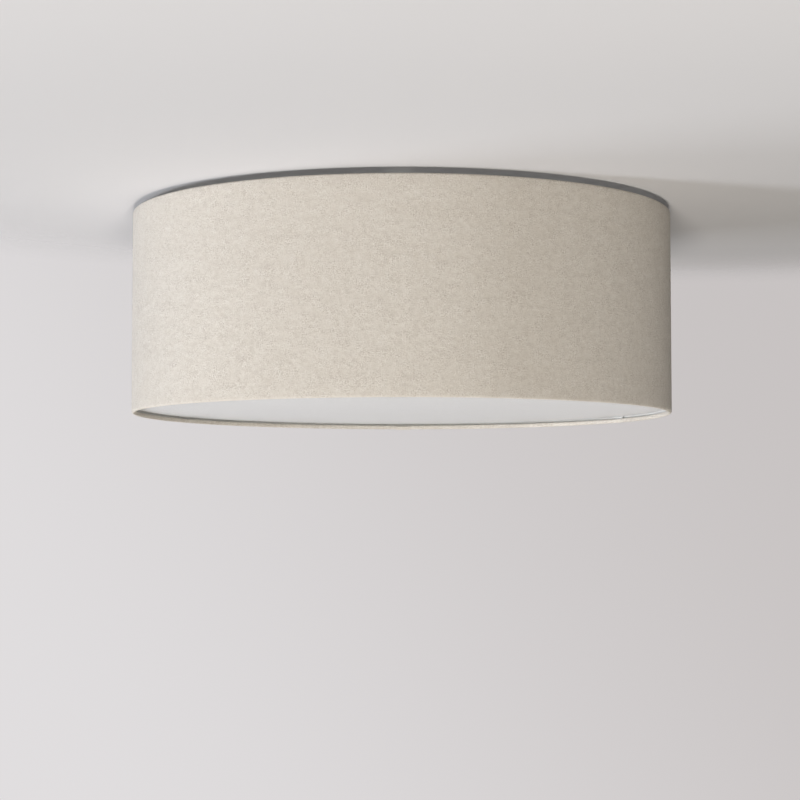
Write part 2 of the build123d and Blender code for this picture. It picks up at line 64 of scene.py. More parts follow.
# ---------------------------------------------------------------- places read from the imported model
SHADE_LOW, SHADE_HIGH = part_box("shade_fabric")
RING_LOW, RING_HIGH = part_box("top_ring")
LOWER_RING_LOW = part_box("bottom_ring")[0]
CAP_LOW, CAP_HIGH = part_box("lamp_cap_1")
PAN_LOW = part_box("ceiling_pan")[0]
BLOCK_LOW, BLOCK_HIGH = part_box("terminal_block")
STUD_LOW, STUD_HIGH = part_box("crossbar_studs")
POST_LOW, POST_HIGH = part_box("earth_post")
POST_X = (POST_LOW.x + POST_HIGH.x) / 2
POST_Y = (POST_LOW.y + POST_HIGH.y) / 2
LAMP_NUMBERS = (1, 2, 3)
LAMP_AXES = {number: Vector(joint["axis"]) for number in LAMP_NUMBERS for joint in frame["joints"]
             if joint["name"] == f"lamp_{number}_out"}

SHADE_RADIUS = SHADE_HIGH.x
SHADE_TOP = SHADE_HIGH.z
SHADE_BOTTOM = SHADE_LOW.z
WIRE_HALF = (RING_HIGH.z - RING_LOW.z) / 2
WIRE_RADIUS = RING_HIGH.x - WIRE_HALF
TOP_WIRE_Z = (RING_HIGH.z + RING_LOW.z) / 2
BOTTOM_WIRE_Z = LOWER_RING_LOW.z + WIRE_HALF

# along a lamp's axis, from the face of its bracket
HOLDER_FLOOR = 21.0 * MM
SHELL_END = 44.0 * MM
CAP_TIP = 25.3 * MM
CAP_END = 51.3 * MM
LAMP_AXIS_Z = (CAP_LOW.z + CAP_HIGH.z) / 2
HOLDER_SEAT = CAP_LOW.y - CAP_TIP
BRACKET_SCREW_CIRCLE = HOLDER_SEAT + 13.0 * MM
BRACKET_SCREW_SIDE = 7.0 * MM
LAMP_THREAD_PITCH = 3.6 * MM

# screws, studs, nuts and what they hold
THREAD_PITCH = 0.7 * MM
THREAD_DEPTH = 0.3 * MM
STUD_RADIUS = 2.0 * MM
NUT_WIDTH = 7.0 * MM
NUT_FLAT_FORWARD = radians(30.0)
SCREW_HEAD_RADIUS = 3.7 * MM
SCREW_HEAD_HEIGHT = 2.4 * MM
SCREW_RECESS = 1.9 * MM
PAN_SHEET = 1.0 * MM
LEAD_RADIUS = 0.8 * MM
SLEEVE_RADIUS = 2.25 * MM
BLOCK_PITCH = 10.0 * MM
LEAD_IN_BLOCK = 5.0 * MM
MAGNET_RADIUS = 6.0 * MM
NIPPLE_RADIUS = 5.0 * MM
NEARLY_NOTHING = 1e-6

# each button of the terminal block: its column, counted from the middle one, and how far it is from the
# block's face in millimetres
BUTTON_PLACES = ((-1, 3.6), (-1, 13.4), (0, 3.6), (0, 13.4), (1, 3.6))


# ---------------------------------------------------------------- sizes and colours a user would change
def length(name, description, default, low=0.0, high=10.0):
    """A length property in metres."""
    return bpy.props.FloatProperty(name=name, description=description, default=default, min=low, max=high,
                                   precision=5, unit="LENGTH", subtype="DISTANCE")


def angle(name, description, default):
    """An angle property, given in degrees."""
    return bpy.props.FloatProperty(name=name, description=description, default=radians(default),
                                   unit="ROTATION", subtype="ANGLE")


def colour(name, description, default):
    """A colour property."""
    return bpy.props.FloatVectorProperty(name=name, description=description, default=default, size=3,
                                         min=0.0, max=1.0, subtype="COLOR")


def share(name, description, default):
    """A number from 0 to 1."""
    return bpy.props.FloatProperty(name=name, description=description, default=default, min=0.0, max=1.0,
                                   subtype="FACTOR")


class ShadeSizes(bpy.types.PropertyGroup):
    """The cloth shade."""
    cloth: colour("Cloth", "Colour of most of the yarn", (0.790, 0.738, 0.668))
    light_yarn: colour("Light yarn", "Colour of the pale slubs", (0.930, 0.895, 0.835))
    dark_yarn: colour("Dark yarn", "Colour of the dark slubs", (0.520, 0.460, 0.390))
    yarn_pitch: length("Yarn pitch", "From one yarn to the next", 0.00052)
    yarn_relief: length("Yarn relief", "How far the yarns stand out of the cloth", 0.0009)
    thickness: length("Cloth thickness", "Thickness of the cloth", 0.0005)
    lap: length("Seam lap", "Width of the glued lap at the back", 0.012)
    lap_rise: length("Lap rise", "How far the lap stands out", 0.0005)
    tuck: length("Hem tuck", "How far the hem reaches back along the inside", 0.0033)


class FinishColours(bpy.types.PropertyGroup):
    """The finishes of everything but the cloth."""
    liner: colour("Liner", "Colour of the laminate inside the shade", (0.86, 0.85, 0.82))
    paint: colour("Paint", "Colour of the pan, the rings, the arms and the brackets", (0.80, 0.80, 0.78))
    opal: colour("Diffuser", "Colour of the diffuser's face", (0.850, 0.853, 0.860))
    opal_depth: colour("Diffuser depth", "Colour of the light that comes through it", (0.850, 0.855, 0.860))
    zinc: colour("Zinc", "Colour of zinc-plated steel", (0.62, 0.63, 0.65))
    nickel: colour("Nickel", "Colour of nickel-plated parts", (0.72, 0.70, 0.67))
    rubber: colour("Rubber", "Colour of the grommet", (0.030, 0.030, 0.032))
    block: colour("Terminal block", "Colour of the terminal block", (0.72, 0.73, 0.72))
    button: colour("Buttons", "Colour of the terminal block's buttons", (0.42, 0.44, 0.45))
    holder: colour("Lampholder", "Colour of the lampholders", (0.78, 0.78, 0.76))
    brass: colour("Brass", "Colour of the contacts and screw shells", (0.72, 0.55, 0.27))
    lamp_cap: colour("Lamp cap", "Colour of the lamps' caps", (0.70, 0.69, 0.66))
    insulator: colour("Insulator", "Colour of the glass in the lamps' caps", (0.012, 0.012, 0.014))
    lamp_body: colour("Lamp body", "Colour of the lamps' housings", (0.80, 0.80, 0.79))
    lamp_tube: colour("Lamp tube", "Colour of the lamps' frosted tubes", (0.84, 0.84, 0.82))
    sleeve: colour("Sleeve", "Colour of the sleeves round the leads", (0.76, 0.75, 0.72))
    live: colour("Live", "Colour of the live leads", (0.16, 0.07, 0.03))
    neutral: colour("Neutral", "Colour of the neutral leads", (0.03, 0.11, 0.36))
    earth: colour("Earth", "Ground colour of the earth lead", (0.08, 0.30, 0.05))
    earth_stripe: colour("Earth stripe", "Stripe on the earth lead", (0.75, 0.62, 0.03))


class StageSizes(bpy.types.PropertyGroup):
    """The ceiling, the backdrop and the camera."""
    backdrop: colour("Backdrop", "Colour that clouds the ceiling's paint", (0.655, 0.625, 0.622))
    # Painted light: the backdrop is paler on the window's side and darker on the far side, as the window
    # would light it
    backdrop_left: colour("Backdrop left", "Backdrop on the window's side", (0.750, 0.730, 0.738))
    backdrop_right: colour("Backdrop right", "Backdrop on the far side", (0.575, 0.545, 0.542))
    backdrop_slant: share("Backdrop slant", "How far its shading leans from upright", 0.6)
    ambient: share("Ambient", "Strength of the light from all round", 0.085)
    ceiling: colour("Ceiling", "Colour of the ceiling", (0.548, 0.545, 0.562))
    # Painted light: the ceiling is made a little paler close to the light, to even out the shade that the
    # light casts on the ceiling around itself
    ceiling_near_painted_light: colour("Ceiling near", "Its colour close to the light", (0.572, 0.568, 0.584))
    ceiling_reach: length("Ceiling reach", "Radius of the ceiling that is made", 2.2)
    fade_start: length("Fade start", "Where the ceiling starts to fade into the backdrop", 0.7)
    fade_end: length("Fade end", "Where the ceiling has faded into the backdrop", 1.05)
    leak: share("Ceiling leak", "Light from above that reaches the inside, as through the cloth", 0.38)
    lens: length("Lens", "Focal length of the camera", 0.10062)
    eye_distance: length("Camera distance", "Camera in front of the light", 2.0804)
    eye_depth: length("Camera depth", "Camera below the ceiling", 0.3164)
    eye_side: length("Camera side", "Camera left of the light's middle", 0.0015)
    eye_pitch: angle("Camera pitch", "How far the camera looks up", 3.81)


# ---------------------------------------------------------------- pieces
def new_piece(name, shape, body, finishes, replaces=()):
    """A shown piece, of a mesh or a curve, that rides on a body."""
    piece = bpy.data.objects.new(name, shape)
    bpy.context.scene.collection.objects.link(piece)
    for finish in finishes:
        shape.materials.append(finish)
    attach(piece, body)
    if replaces:
        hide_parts(*replaces)
    return piece


def finish_node(node_name, slot, rounding=0.0):
    """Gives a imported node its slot's finish, and rounds its sharp edges by a width."""
    node = frame["nodes"][node_name]
    node.data.materials.clear()
    node.data.materials.append(look(slot))
    for material_slot in node.material_slots:
        material_slot.link = "DATA"
    if rounding:
        bevel = node.modifiers.new("soft edges", "BEVEL")
        bevel.width = rounding
        bevel.segments = 2
        bevel.limit_method = "ANGLE"
        bevel.angle_limit = radians(40.0)
        bevel.harden_normals = True


def stand_in(form, name, body, slot, replaced, sharp=35.0, more_slots=()):
    """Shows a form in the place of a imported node, in its slot's finish and any others that it has."""
    finishes = [look(each) for each in (slot, *more_slots)]
    new_piece(name, form.mesh(name, sharp), body, finishes, [replaced])


# ---------------------------------------------------------------- finishes
class Nodes:
    """A node tree, with short ways to add nodes and link them."""

    def __init__(self, tree):
        self.tree = tree

    def put(self, socket, value):
        """Links a socket to another node's, or sets it to a number or a colour."""
        if isinstance(value, bpy.types.NodeSocket):
            self.tree.links.new(value, socket)
        elif socket.type == "RGBA":
            socket.default_value = (*value[:3], 1.0)
        else:
            socket.default_value = value

    def add(self, kind, **sockets):
        """A node with its input sockets set or linked, by name."""
        node = self.tree.nodes.new(kind)
        for name, value in sockets.items():
            self.put(node.inputs[name.replace("_", " ")], value)
        return node

    def math(self, operation, *values):
        """The result of one operation on some values."""
        node = self.tree.nodes.new("ShaderNodeMath")
        node.operation = operation
        for socket, value in zip(node.inputs, values):
            self.put(socket, value)
        return node.outputs[0]

    def product(self, first, second):
        """One value times another."""
        return self.math("MULTIPLY", first, second)

    def most(self, first, *others):
        """The greatest of some values."""
        for other in others:
            first = self.math("MAXIMUM", first, other)
        return first

    def blend(self, share_of_second, first, second):
        """A colour between two colours."""
        node = self.tree.nodes.new("ShaderNodeMix")
        node.data_type = "RGBA"
        self.put(node.inputs["Factor"], share_of_second)
        self.put(node.inputs[6], first)
        self.put(node.inputs[7], second)
        return node.outputs[2]

    def spread(self, value, low, high, new_low=0.0, new_high=1.0, smooth=False):
        """A value moved from one range to another, and held there."""
        node = self.add("ShaderNodeMapRange", Value=value, From_Min=low, From_Max=high, To_Min=new_low,
                        To_Max=new_high)
        if smooth:
            node.interpolation_type = "SMOOTHSTEP"
        return node.outputs["Result"]

    def mix(self, share_of_second, first, second, output):
        """Sends a mix of two shaders to an output node."""
        node = self.add("ShaderNodeMixShader", Fac=share_of_second)
        self.tree.links.new(first.outputs[0], node.inputs[1])
        self.tree.links.new(second.outputs[0], node.inputs[2])
        self.tree.links.new(node.outputs[0], self.tree.nodes[output].inputs["Surface"])


class Finish(Nodes):
    """A material and the nodes behind its colour, gloss and grain."""

    def __init__(self, name):
        self.material = bpy.data.materials.new(name)
        self.material.use_nodes = True
        super().__init__(self.material.node_tree)
        self.shader = self.tree.nodes["Principled BSDF"]

    def set(self, **sockets):
        """Sets or links the surface shader's own sockets."""
        for name, value in sockets.items():
            self.put(self.shader.inputs[name.replace("_", " ")], value)

    def place(self, stretch=(1.0, 1.0, 1.0), cloth=False, shift=(0.0, 0.0, 0.0)):
        """Coordinates in metres, of the object or along its cloth, times a stretch, plus a shift."""
        if cloth:
            source = self.add("ShaderNodeUVMap")
            source.uv_map = CLOTH_MAP
            where = source.outputs["UV"]
        else:
            where = self.add("ShaderNodeTexCoord").outputs["Object"]
        return self.add("ShaderNodeMapping", Vector=where, Scale=stretch, Location=shift).outputs["Vector"]

    def reach(self, x=0.0, y=0.0):
        """The distance from a point of the object, given in metres from its middle."""
        node = self.add("ShaderNodeVectorMath", Vector=self.place(shift=(-x, -y, 0.0)))
        node.operation = "LENGTH"
        return node.outputs["Value"]

    def grain(self, where, scale, detail=2.0, roughness=0.5):
        """Noise from about 0.3 to 0.7."""
        node = self.add("ShaderNodeTexNoise", Vector=where, Scale=scale, Detail=detail, Roughness=roughness)
        return node.outputs["Fac"]

    def gloss(self, noise, roughness, less=0.05, more=0.05):
        """Lets the roughness vary with a noise."""
        self.set(Roughness=self.spread(noise, NOISE_LOW, NOISE_HIGH, roughness - less, roughness + more))

    def emboss(self, height, distance):
        """Feeds a height, times a distance in metres, to the shader as bumps."""
        bump = self.add("ShaderNodeBump", Height=height, Distance=distance, Strength=1.0)
        self.set(Normal=bump.outputs["Normal"])


CLOTH_MAP = "cloth"
NOISE_LOW = 0.3
NOISE_HIGH = 0.7
PATCHES_PER_METRE = 210.0
BUSY_STRETCHES_PER_METRE = 85.0
CLOUDS_PER_METRE = 60.0


def heathered_linen(name, sizes):
    """Plain-woven cloth of mixed light and dark yarns, in metres along the cloth.

    Flecks gather in patches, with quieter cloth between them.
    """
    finish = Finish(name)
    per_metre = 1.0 / sizes.yarn_pitch
    across_yarn = per_metre * 0.8
    along_yarn = per_metre / 8.0
    flat = finish.place(cloth=True)
    warp = finish.grain(finish.place((across_yarn, along_yarn, 1.0), cloth=True), 1.0, 2.0, 0.6)
    weft = finish.grain(finish.place((along_yarn, across_yarn, 1.0), cloth=True), 1.0, 2.0, 0.6)
    fleck = finish.grain(flat, per_metre * 0.45, 2.0, 0.5)
    patch = finish.grain(flat, PATCHES_PER_METRE, 2.0, 0.6)
    cloud = finish.grain(flat, CLOUDS_PER_METRE, 3.0, 0.6)
    stretch = finish.grain(flat, BUSY_STRETCHES_PER_METRE, 3.0, 0.6)
    busy = finish.spread(stretch, 0.38, 0.62, 0.25, 1.0)
    thread = finish.product(finish.math("ADD", warp, weft), 0.5)
    heather = finish.math("ADD", finish.product(thread, 0.5), finish.product(fleck, 0.5))
    mottle = finish.math("ADD", finish.product(patch, 0.6), finish.product(cloud, 0.4))

    pale_share = finish.product(finish.spread(heather, 0.50, 0.64), busy)
    dark_share = finish.product(finish.spread(heather, 0.50, 0.36, 0.0, 0.9), busy)
    tone = finish.blend(pale_share, sizes.cloth, sizes.light_yarn)
    tone = finish.blend(dark_share, tone, sizes.dark_yarn)
    tone = finish.blend(finish.spread(mottle, 0.50, 0.66, 0.0, 0.22), tone, sizes.dark_yarn)
    tone = finish.blend(finish.spread(mottle, 0.50, 0.34, 0.0, 0.30), tone, sizes.light_yarn)
    finish.set(Base_Color=tone, Roughness=0.92, Specular_IOR_Level=0.18)
    finish.set(Sheen_Weight=0.12, Sheen_Roughness=0.5)

    waves = []
    half = per_metre * 0.5
    for direction, scale in (("X", (half, 0.0, 0.0)), ("Y", (0.0, half, 0.0))):
        wave = finish.add("ShaderNodeTexWave", Vector=finish.place(scale, cloth=True), Scale=1.0,
                          Distortion=1.5, Detail=2.0, Detail_Scale=0.4)
        wave.bands_direction = direction
        waves.append(wave.outputs["Fac"])
    weave = finish.math("ADD", *waves)
    relief = finish.math("ADD", finish.product(weave, 0.15), finish.product(fleck, busy))
    relief = finish.math("ADD", relief, finish.product(patch, 0.35))
    finish.emboss(relief, sizes.yarn_relief)
    return finish.material


def coated(name, shade, roughness, speckles_per_metre=900.0, relief=0.00002, darker=0.05):
    """Paint, plastic or laminate: an even colour with faint clouds, a fine skin and uneven gloss."""
    finish = Finish(name)
    where = finish.place()
    cloud = finish.grain(where, 30.0, 4.0, 0.6)
    skin = finish.grain(where, speckles_per_metre, 3.0, 0.55)
    deeper = tuple(value * (1.0 - darker) for value in shade)
    finish.set(Base_Color=finish.blend(finish.spread(cloud, NOISE_LOW, NOISE_HIGH), shade, deeper))
    finish.gloss(skin, roughness)
    finish.emboss(skin, relief)
    return finish.material


def opal(name, shade, roughness, through=0.3):
    """Cast sheet that lets a share of the light through, scattered."""
    material = coated(name, shade, roughness, 2400.0, 0.000005, 0.02)
    nodes = Nodes(material.node_tree)
    depth = bpy.context.scene.finish_colours.opal_depth
    scatter = nodes.add("ShaderNodeBsdfTranslucent", Color=depth)
    nodes.mix(through, nodes.tree.nodes["Principled BSDF"], scatter, "Material Output")
    return material


def plated(name, shade, roughness, scratch=(1.0, 1.0, 12.0), relief=0.000008, tarnish=0.25):
    """Plated or plain metal with fine drawn marks and uneven dullness."""
    finish = Finish(name)
    marks = finish.grain(finish.place(scratch), 700.0, 3.0, 0.6)
    cloud = finish.grain(finish.place(), 160.0, 4.0, 0.6)
    dull = tuple(value * (1.0 - tarnish) for value in shade)
    finish.set(Base_Color=finish.blend(finish.spread(cloud, 0.35, 0.75), shade, dull), Metallic=1.0)
    finish.gloss(marks, roughness, 0.08, 0.10)
    finish.emboss(marks, relief)
    return finish.material


def striped(name, ground, roughness):
    """Insulation with a lengthwise stripe on either side, by the height of the surface's normal."""
    finish = Finish(name)
    skin = finish.grain(finish.place(), 1500.0, 2.0)
    normal = finish.add("ShaderNodeTexCoord").outputs["Normal"]
    height = finish.add("ShaderNodeSeparateXYZ", Vector=normal).outputs["Z"]
    band = finish.spread(finish.math("ABSOLUTE", height), 0.55, 0.62)
    finish.set(Base_Color=finish.blend(band, bpy.context.scene.finish_colours.earth_stripe, ground))
    finish.gloss(skin, roughness)
    finish.emboss(skin, 0.00001)
    return finish.material


# each material slot's finish: how it is made, its name, its colour's property, its roughness and its grain
LOOKS = {
    "liner_white": (coated, "liner_laminate", "liner", 0.5, 1400.0),
    "white_paint": (coated, "powder_coat", "paint", 0.42, 1100.0),
    "opal_sheet": (opal, "opal_acrylic", "opal", 0.24),
    "zinc_steel": (plated, "bright_zinc", "zinc", 0.34),
    "nickel": (plated, "bright_nickel", "nickel", 0.24),
    "grommet_rubber": (coated, "black_rubber", "rubber", 0.6),
    "block_plastic": (coated, "block_nylon", "block", 0.35),
    "holder_plastic": (coated, "holder_white", "holder", 0.4),
    "contact_brass": (plated, "plain_brass", "brass", 0.3),
    "cap_nickel": (plated, "cap_metal", "lamp_cap", 0.3),
    "lamp_white": (coated, "lamp_body_white", "lamp_body", 0.35),
    "lamp_opal": (coated, "lamp_frosted", "lamp_tube", 0.5),
    "sleeve_white": (coated, "silicone_sleeve", "sleeve", 0.55),
    "live_brown": (coated, "lead_brown", "live", 0.45),
    "neutral_blue": (coated, "lead_blue", "neutral", 0.45),
    "earth_green": (striped, "lead_green_yellow", "earth", 0.45),
    "lamp_glass": (coated, "insulator_glass", "insulator", 0.2),
    "button_grey": (coated, "button_grey", "button", 0.4),
}
MADE_LOOKS = {}


def look(slot):
    """The finish of a material slot, made the first time that it is asked for."""
    if slot not in MADE_LOOKS:
        make, name, colour_name, *rest = LOOKS[slot]
        shade = getattr(bpy.context.scene.finish_colours, colour_name)
        MADE_LOOKS[slot] = make(name, tuple(shade), *rest)
    return MADE_LOOKS[slot]


# ---------------------------------------------------------------- shapes
class Form:
    """The points and faces of a piece made of one or more closed shells."""

    def __init__(self):
        self.points = []
        self.faces = []
        self.finishes = []

    def add(self, points, faces, place, finish=0):
        """Adds a shell, moved to its place."""
        first = len(self.points)
        self.points.extend(place @ Vector(point) for point in points)
        self.faces.extend([first + i for i in face] for face in faces)
        self.finishes.extend([finish] * len(faces))

    def add_mesh(self, mesh, place, finish=0):
        """Adds a copy of a mesh, moved to its place."""
        points = [vertex.co for vertex in mesh.vertices]
        self.add(points, [list(face.vertices) for face in mesh.polygons], place, finish)

    def turn(self, profile, place, steps=48, finish=0, shape=None, closed=False):
        """Turns (radius, height) points, given up the outside, round the Z axis of a place."""
        points = []
        rows = []
        for radius, height in profile:
            if radius == 0.0:
                rows.append([len(points)] * steps)
                points.append((0.0, 0.0, height))
                continue
            rows.append(list(range(len(points), len(points) + steps)))
            for i in range(steps):
                turn = tau * i / steps
                r = shape(radius, height, turn) if shape else radius
                points.append((r * cos(turn), r * sin(turn), height))
        if closed:
            rows.append(rows[0])
        faces = []
        for lower, upper in zip(rows, rows[1:]):
            for i in range(steps):
                j = (i + 1) % steps
                face = list(dict.fromkeys((lower[i], lower[j], upper[j], upper[i])))
                if len(face) > 2:
                    faces.append(face)
        self.add(points, faces, place, finish)

    def mesh(self, name, sharp=35.0):
        """The mesh of all shells."""
        mesh = bpy.data.meshes.new(name)
        mesh.from_pydata([tuple(point) for point in self.points], [], self.faces)
        mesh.polygons.foreach_set("material_index", self.finishes)
        mesh.shade_smooth()
        mesh.set_sharp_from_angle(angle=radians(sharp))
        return mesh


def millimetres(profile, up=0.0):
    """A profile given in millimetres, raised by a height in metres."""
    return [(radius * MM, height * MM + up) for radius, height in profile]


def ladder(radius, low, high, count):
    """Points of one radius at even heights."""
    return [(radius, low + (high - low) * i / count) for i in range(count + 1)]


def six_sided(across_flats):
    """Keeps a turned shape inside a hexagon that has a corner at 30 degrees."""
    def shape(radius, height, turn):
        from_flat = (turn + radians(30.0)) % radians(60.0) - radians(30.0)
        return min(radius, across_flats / 2 / cos(from_flat))
    return shape


def threaded(pitch, depth, low, high, least=0.0):
    """Cuts a screw thread between two heights into radii above a least one."""
    def shape(radius, height, turn):
        if radius < least:
            return radius
        fade = max(0.0, min(1.0, (height - low) / pitch, (high - height) / pitch))
        flank = abs((height / pitch - turn / tau) % 1.0 * 2.0 - 1.0)
        return radius - depth * flank * fade
    return shape


def fluted(count, depth, low, high, least=0.0, ease=0.001):
    """Cuts lengthwise grooves between two heights into radii above a least one."""
    def shape(radius, height, turn):
        if radius < least:
            return radius
        fade = max(0.0, min(1.0, (height - low) / ease, (high - height) / ease))
        return radius - depth * fade * (0.5 - 0.5 * cos(count * turn))
    return shape


def upright(x, y, z=0.0, turned=0.0):
    """A place with its Z axis up."""
    return Matrix.Translation((x, y, z)) @ Matrix.Rotation(turned, 4, "Z")


def downward(x, y, z=0.0, turned=0.0):
    """A place with its Z axis down."""
    return Matrix.Translation((x, y, z)) @ Matrix.Rotation(pi, 4, "X") @ Matrix.Rotation(turned, 4, "Z")


def holder_place(number):
    """The place of a lampholder, with Z out along its lamp and Y up."""
    along = LAMP_AXES[number].normalized()
    up = Vector((0.0, 0.0, 1.0))
    place = Matrix((up.cross(along), up, along)).transposed().to_4x4()
    place.translation = along * HOLDER_SEAT + up * LAMP_AXIS_Z
    return place


def screw_thread(form, place, low, high):
    """A rod with a 4 mm thread and chamfered ends."""
    chamfer = THREAD_DEPTH * 1.3
    rows = ceil((high - low) / THREAD_PITCH * 6)
    profile = [(0.0, low), (STUD_RADIUS - chamfer, low)]
    profile += ladder(STUD_RADIUS, low + chamfer, high - chamfer, rows)
    profile += [(STUD_RADIUS - chamfer, high), (0.0, high)]
    form.turn(profile, place, 16, shape=threaded(THREAD_PITCH, THREAD_DEPTH, low, high, STUD_RADIUS * 0.9))


def hex_nut(form, place, low, high, across_flats=NUT_WIDTH, bore=STUD_RADIUS):
    """A hexagon nut, chamfered on both faces."""
    corner = across_flats / 2 / cos(radians(30.0))
    face = across_flats * 0.47
    chamfer = (corner - across_flats * 0.48) * 0.6
    lead_in = 0.3 * MM
    profile = [(bore, low), (face, low), (corner, low + chamfer), (corner, high - chamfer), (face, high),
               (bore + lead_in, high), (bore, high - lead_in)]
    form.turn(profile, place, shape=six_sided(across_flats), closed=True)


def dome_nut(form, place, low, high):
    """A nut with a closed dome, hexagon first; low is its seat."""
    corner = NUT_WIDTH / 2 / cos(radians(30.0))
    base = low + (high - low) * 0.48
    dome = NUT_WIDTH * 0.455
    spring = base + 0.25 * MM
    profile = [(0.0, low), (NUT_WIDTH * 0.47, low), (corner, low + 0.4 * MM), (corner, base - 0.5 * MM),
               (NUT_WIDTH * 0.48, base), (dome, spring)]
    for turn in range(10, 90, 10):
        profile.append((dome * cos(radians(turn)), spring + (high - spring) * sin(radians(turn))))
    profile.append((0.0, high))
    form.turn(profile, place, shape=six_sided(NUT_WIDTH))


def box_mesh(name, low, high, rounding=0.0):
    """A box between two corners, with its edges rounded by a width."""
    shape = bmesh.new()
    bmesh.ops.create_cube(shape, size=1.0)
    for vertex in shape.verts:
        vertex.co = [(low[i] + high[i]) / 2 + vertex.co[i] * (high[i] - low[i]) for i in range(3)]
    if rounding:
        bmesh.ops.bevel(shape, geom=shape.edges[:], offset=rounding, segments=3, profile=0.5, affect="EDGES")
    mesh = bpy.data.meshes.new(name)
    shape.to_mesh(mesh)
    shape.free()
    return mesh


def carve(mesh, cutter):
    """What is left of a mesh when another is cut from it."""
    scene = bpy.context.scene
    work = bpy.data.objects.new("carved", mesh)
    tool = bpy.data.objects.new("cutter", cutter)
    for thing in (work, tool):
        scene.collection.objects.link(thing)
    cut = work.modifiers.new("cut", "BOOLEAN")
    cut.operation = "DIFFERENCE"
    cut.solver = "EXACT"
    cut.object = tool
    bpy.context.view_layer.update()
    result = bpy.data.meshes.new_from_object(work.evaluated_get(bpy.context.evaluated_depsgraph_get()))
    for thing in (work, tool):
        bpy.data.objects.remove(thing)
    return result


def screw_head():
    """A pan head with a cross recess; its seat is at height 0."""
    radius = SCREW_HEAD_RADIUS
    height = SCREW_HEAD_HEIGHT
    rounding = height * 0.45
    profile = [(0.0, 0.0), (radius - 0.1 * MM, 0.0), (radius, 0.15 * MM), (radius, height - rounding)]
    for turn in range(10, 90, 16):
        profile.append((radius - rounding + rounding * cos(radians(turn)),
                        height - rounding + rounding * sin(radians(turn))))
    profile += [(radius - rounding, height), (0.0, height)]
    blank = Form()
    blank.turn(profile, Matrix(), 40)
    cross = Form()
    blade = SCREW_RECESS * 0.26
    for turn in (0.0, pi / 2):
        bar = box_mesh("bar", (-SCREW_RECESS, -blade, height - SCREW_RECESS * 0.75),
                       (SCREW_RECESS, blade, height + SCREW_RECESS))
        for vertex in bar.vertices:
            if vertex.co.z < height:
                vertex.co.x *= 0.45
        cross.add_mesh(bar, Matrix.Rotation(turn, 4, "Z"))
    head = carve(blank.mesh("head"), cross.mesh("cutter", 1.0))
    head.shade_smooth()
    head.set_sharp_from_angle(angle=radians(32.0))
    return head


def round_leads(name, routes, radius, slot, replaced):
    """Round leads that follow smooth curves through their points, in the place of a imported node."""
    curve = bpy.data.curves.new(name, "CURVE")
    curve.dimensions = "3D"
    curve.bevel_depth = radius
    curve.bevel_resolution = 6
    curve.resolution_u = 16
    curve.use_fill_caps = True
    for route in routes:
        spline = curve.splines.new("NURBS")
        spline.points.add(len(route) - 1)
        for point, where in zip(spline.points, route):
            point.co = (*where, 1.0)
        spline.order_u = 3
        spline.use_endpoint_u = True
    new_piece(name, curve, "base", [look(slot)], [replaced])


# ---------------------------------------------------------------- shade
LAP_RAMP = 4.0 * MM
GLUE_LINE = 0.02 * MM


def hem_path(tuck, rise):
    """The cloth's outer face as (radius, height), from the lower tuck round both hems to the upper tuck."""
    roll = SHADE_RADIUS - WIRE_RADIUS + rise
    roll_steps = 14
    side_steps = 24
    half_turn = [pi * i / roll_steps for i in range(roll_steps + 1)]
    path = [(WIRE_RADIUS - roll, BOTTOM_WIRE_Z + tuck - roll)]
    path += [(WIRE_RADIUS - roll * cos(turn), BOTTOM_WIRE_Z - roll * sin(turn)) for turn in half_turn]
    path += ladder(WIRE_RADIUS + roll, BOTTOM_WIRE_Z, TOP_WIRE_Z, side_steps)[1:-1]
    path += [(WIRE_RADIUS + roll * cos(turn), TOP_WIRE_Z + roll * sin(turn)) for turn in half_turn]
    path.append((WIRE_RADIUS - roll, TOP_WIRE_Z - tuck + roll))
    return path


def lengths_along(path):
    """How far each point of a path is from its start, measured along it."""
    lengths = [0.0]
    for before, after in zip(path, path[1:]):
        lengths.append(lengths[-1] + hypot(after[0] - before[0], after[1] - before[1]))
    return lengths


def cloth_turns(lap_turn, ramp):
    """The turns round the shade at which the cloth has a row of points, to the end of its lap."""
    around = 720
    turns = {tau * i / around for i in range(around)}
    turns |= {tau - ramp, tau - ramp / 2, tau, tau + lap_turn}
    return sorted(turn for turn in turns if not tau - ramp < turn < tau - ramp / 2)


def cloth_mesh(sizes):
    """The cloth as one closed thin sheet, once round with its lap, with a map of it in metres."""
    lap_turn = sizes.lap / SHADE_RADIUS
    ramp = LAP_RAMP / SHADE_RADIUS
    start = pi / 2 - lap_turn / 2
    turns = cloth_turns(lap_turn, ramp)
    half = len(hem_path(sizes.tuck, 0.0))
    rows = 2 * half
    points = []
    map_points = []
    for turn in turns:
        lifted = min(1.0, max(0.0, (turn - (tau - ramp)) / (ramp / 2)))
        rise = lifted * (sizes.lap_rise + GLUE_LINE)
        outer = hem_path(sizes.tuck, rise)
        inner = hem_path(sizes.tuck, rise - sizes.thickness)
        heights = lengths_along(outer)
        for (radius, z), height in zip(outer + inner[::-1], heights + heights[::-1]):
            points.append((radius * cos(start + turn), radius * sin(start + turn), z))
            map_points.append((turn * SHADE_RADIUS, height))
    faces = []
    for i in range(len(turns) - 1):
        for k in range(rows):
            a = i * rows + k
            b = i * rows + (k + 1) % rows
            faces.append((a, a + rows, b + rows, b))
    last = (len(turns) - 1) * rows
    for k in range(half - 1):
        faces.append((k, k + 1, rows - 2 - k, rows - 1 - k))
        faces.append((last + k + 1, last + k, last + rows - 1 - k, last + rows - 2 - k))
    mesh = bpy.data.meshes.new("shade_cloth")
    mesh.from_pydata(points, [], faces)
    mesh.validate()
    mesh.shade_smooth()
    mesh.set_sharp_from_angle(angle=radians(35.0))
    layer = mesh.uv_layers.new(name=CLOTH_MAP)
    for loop in mesh.loops:
        layer.data[loop.index].uv = map_points[loop.vertex_index]
    return mesh


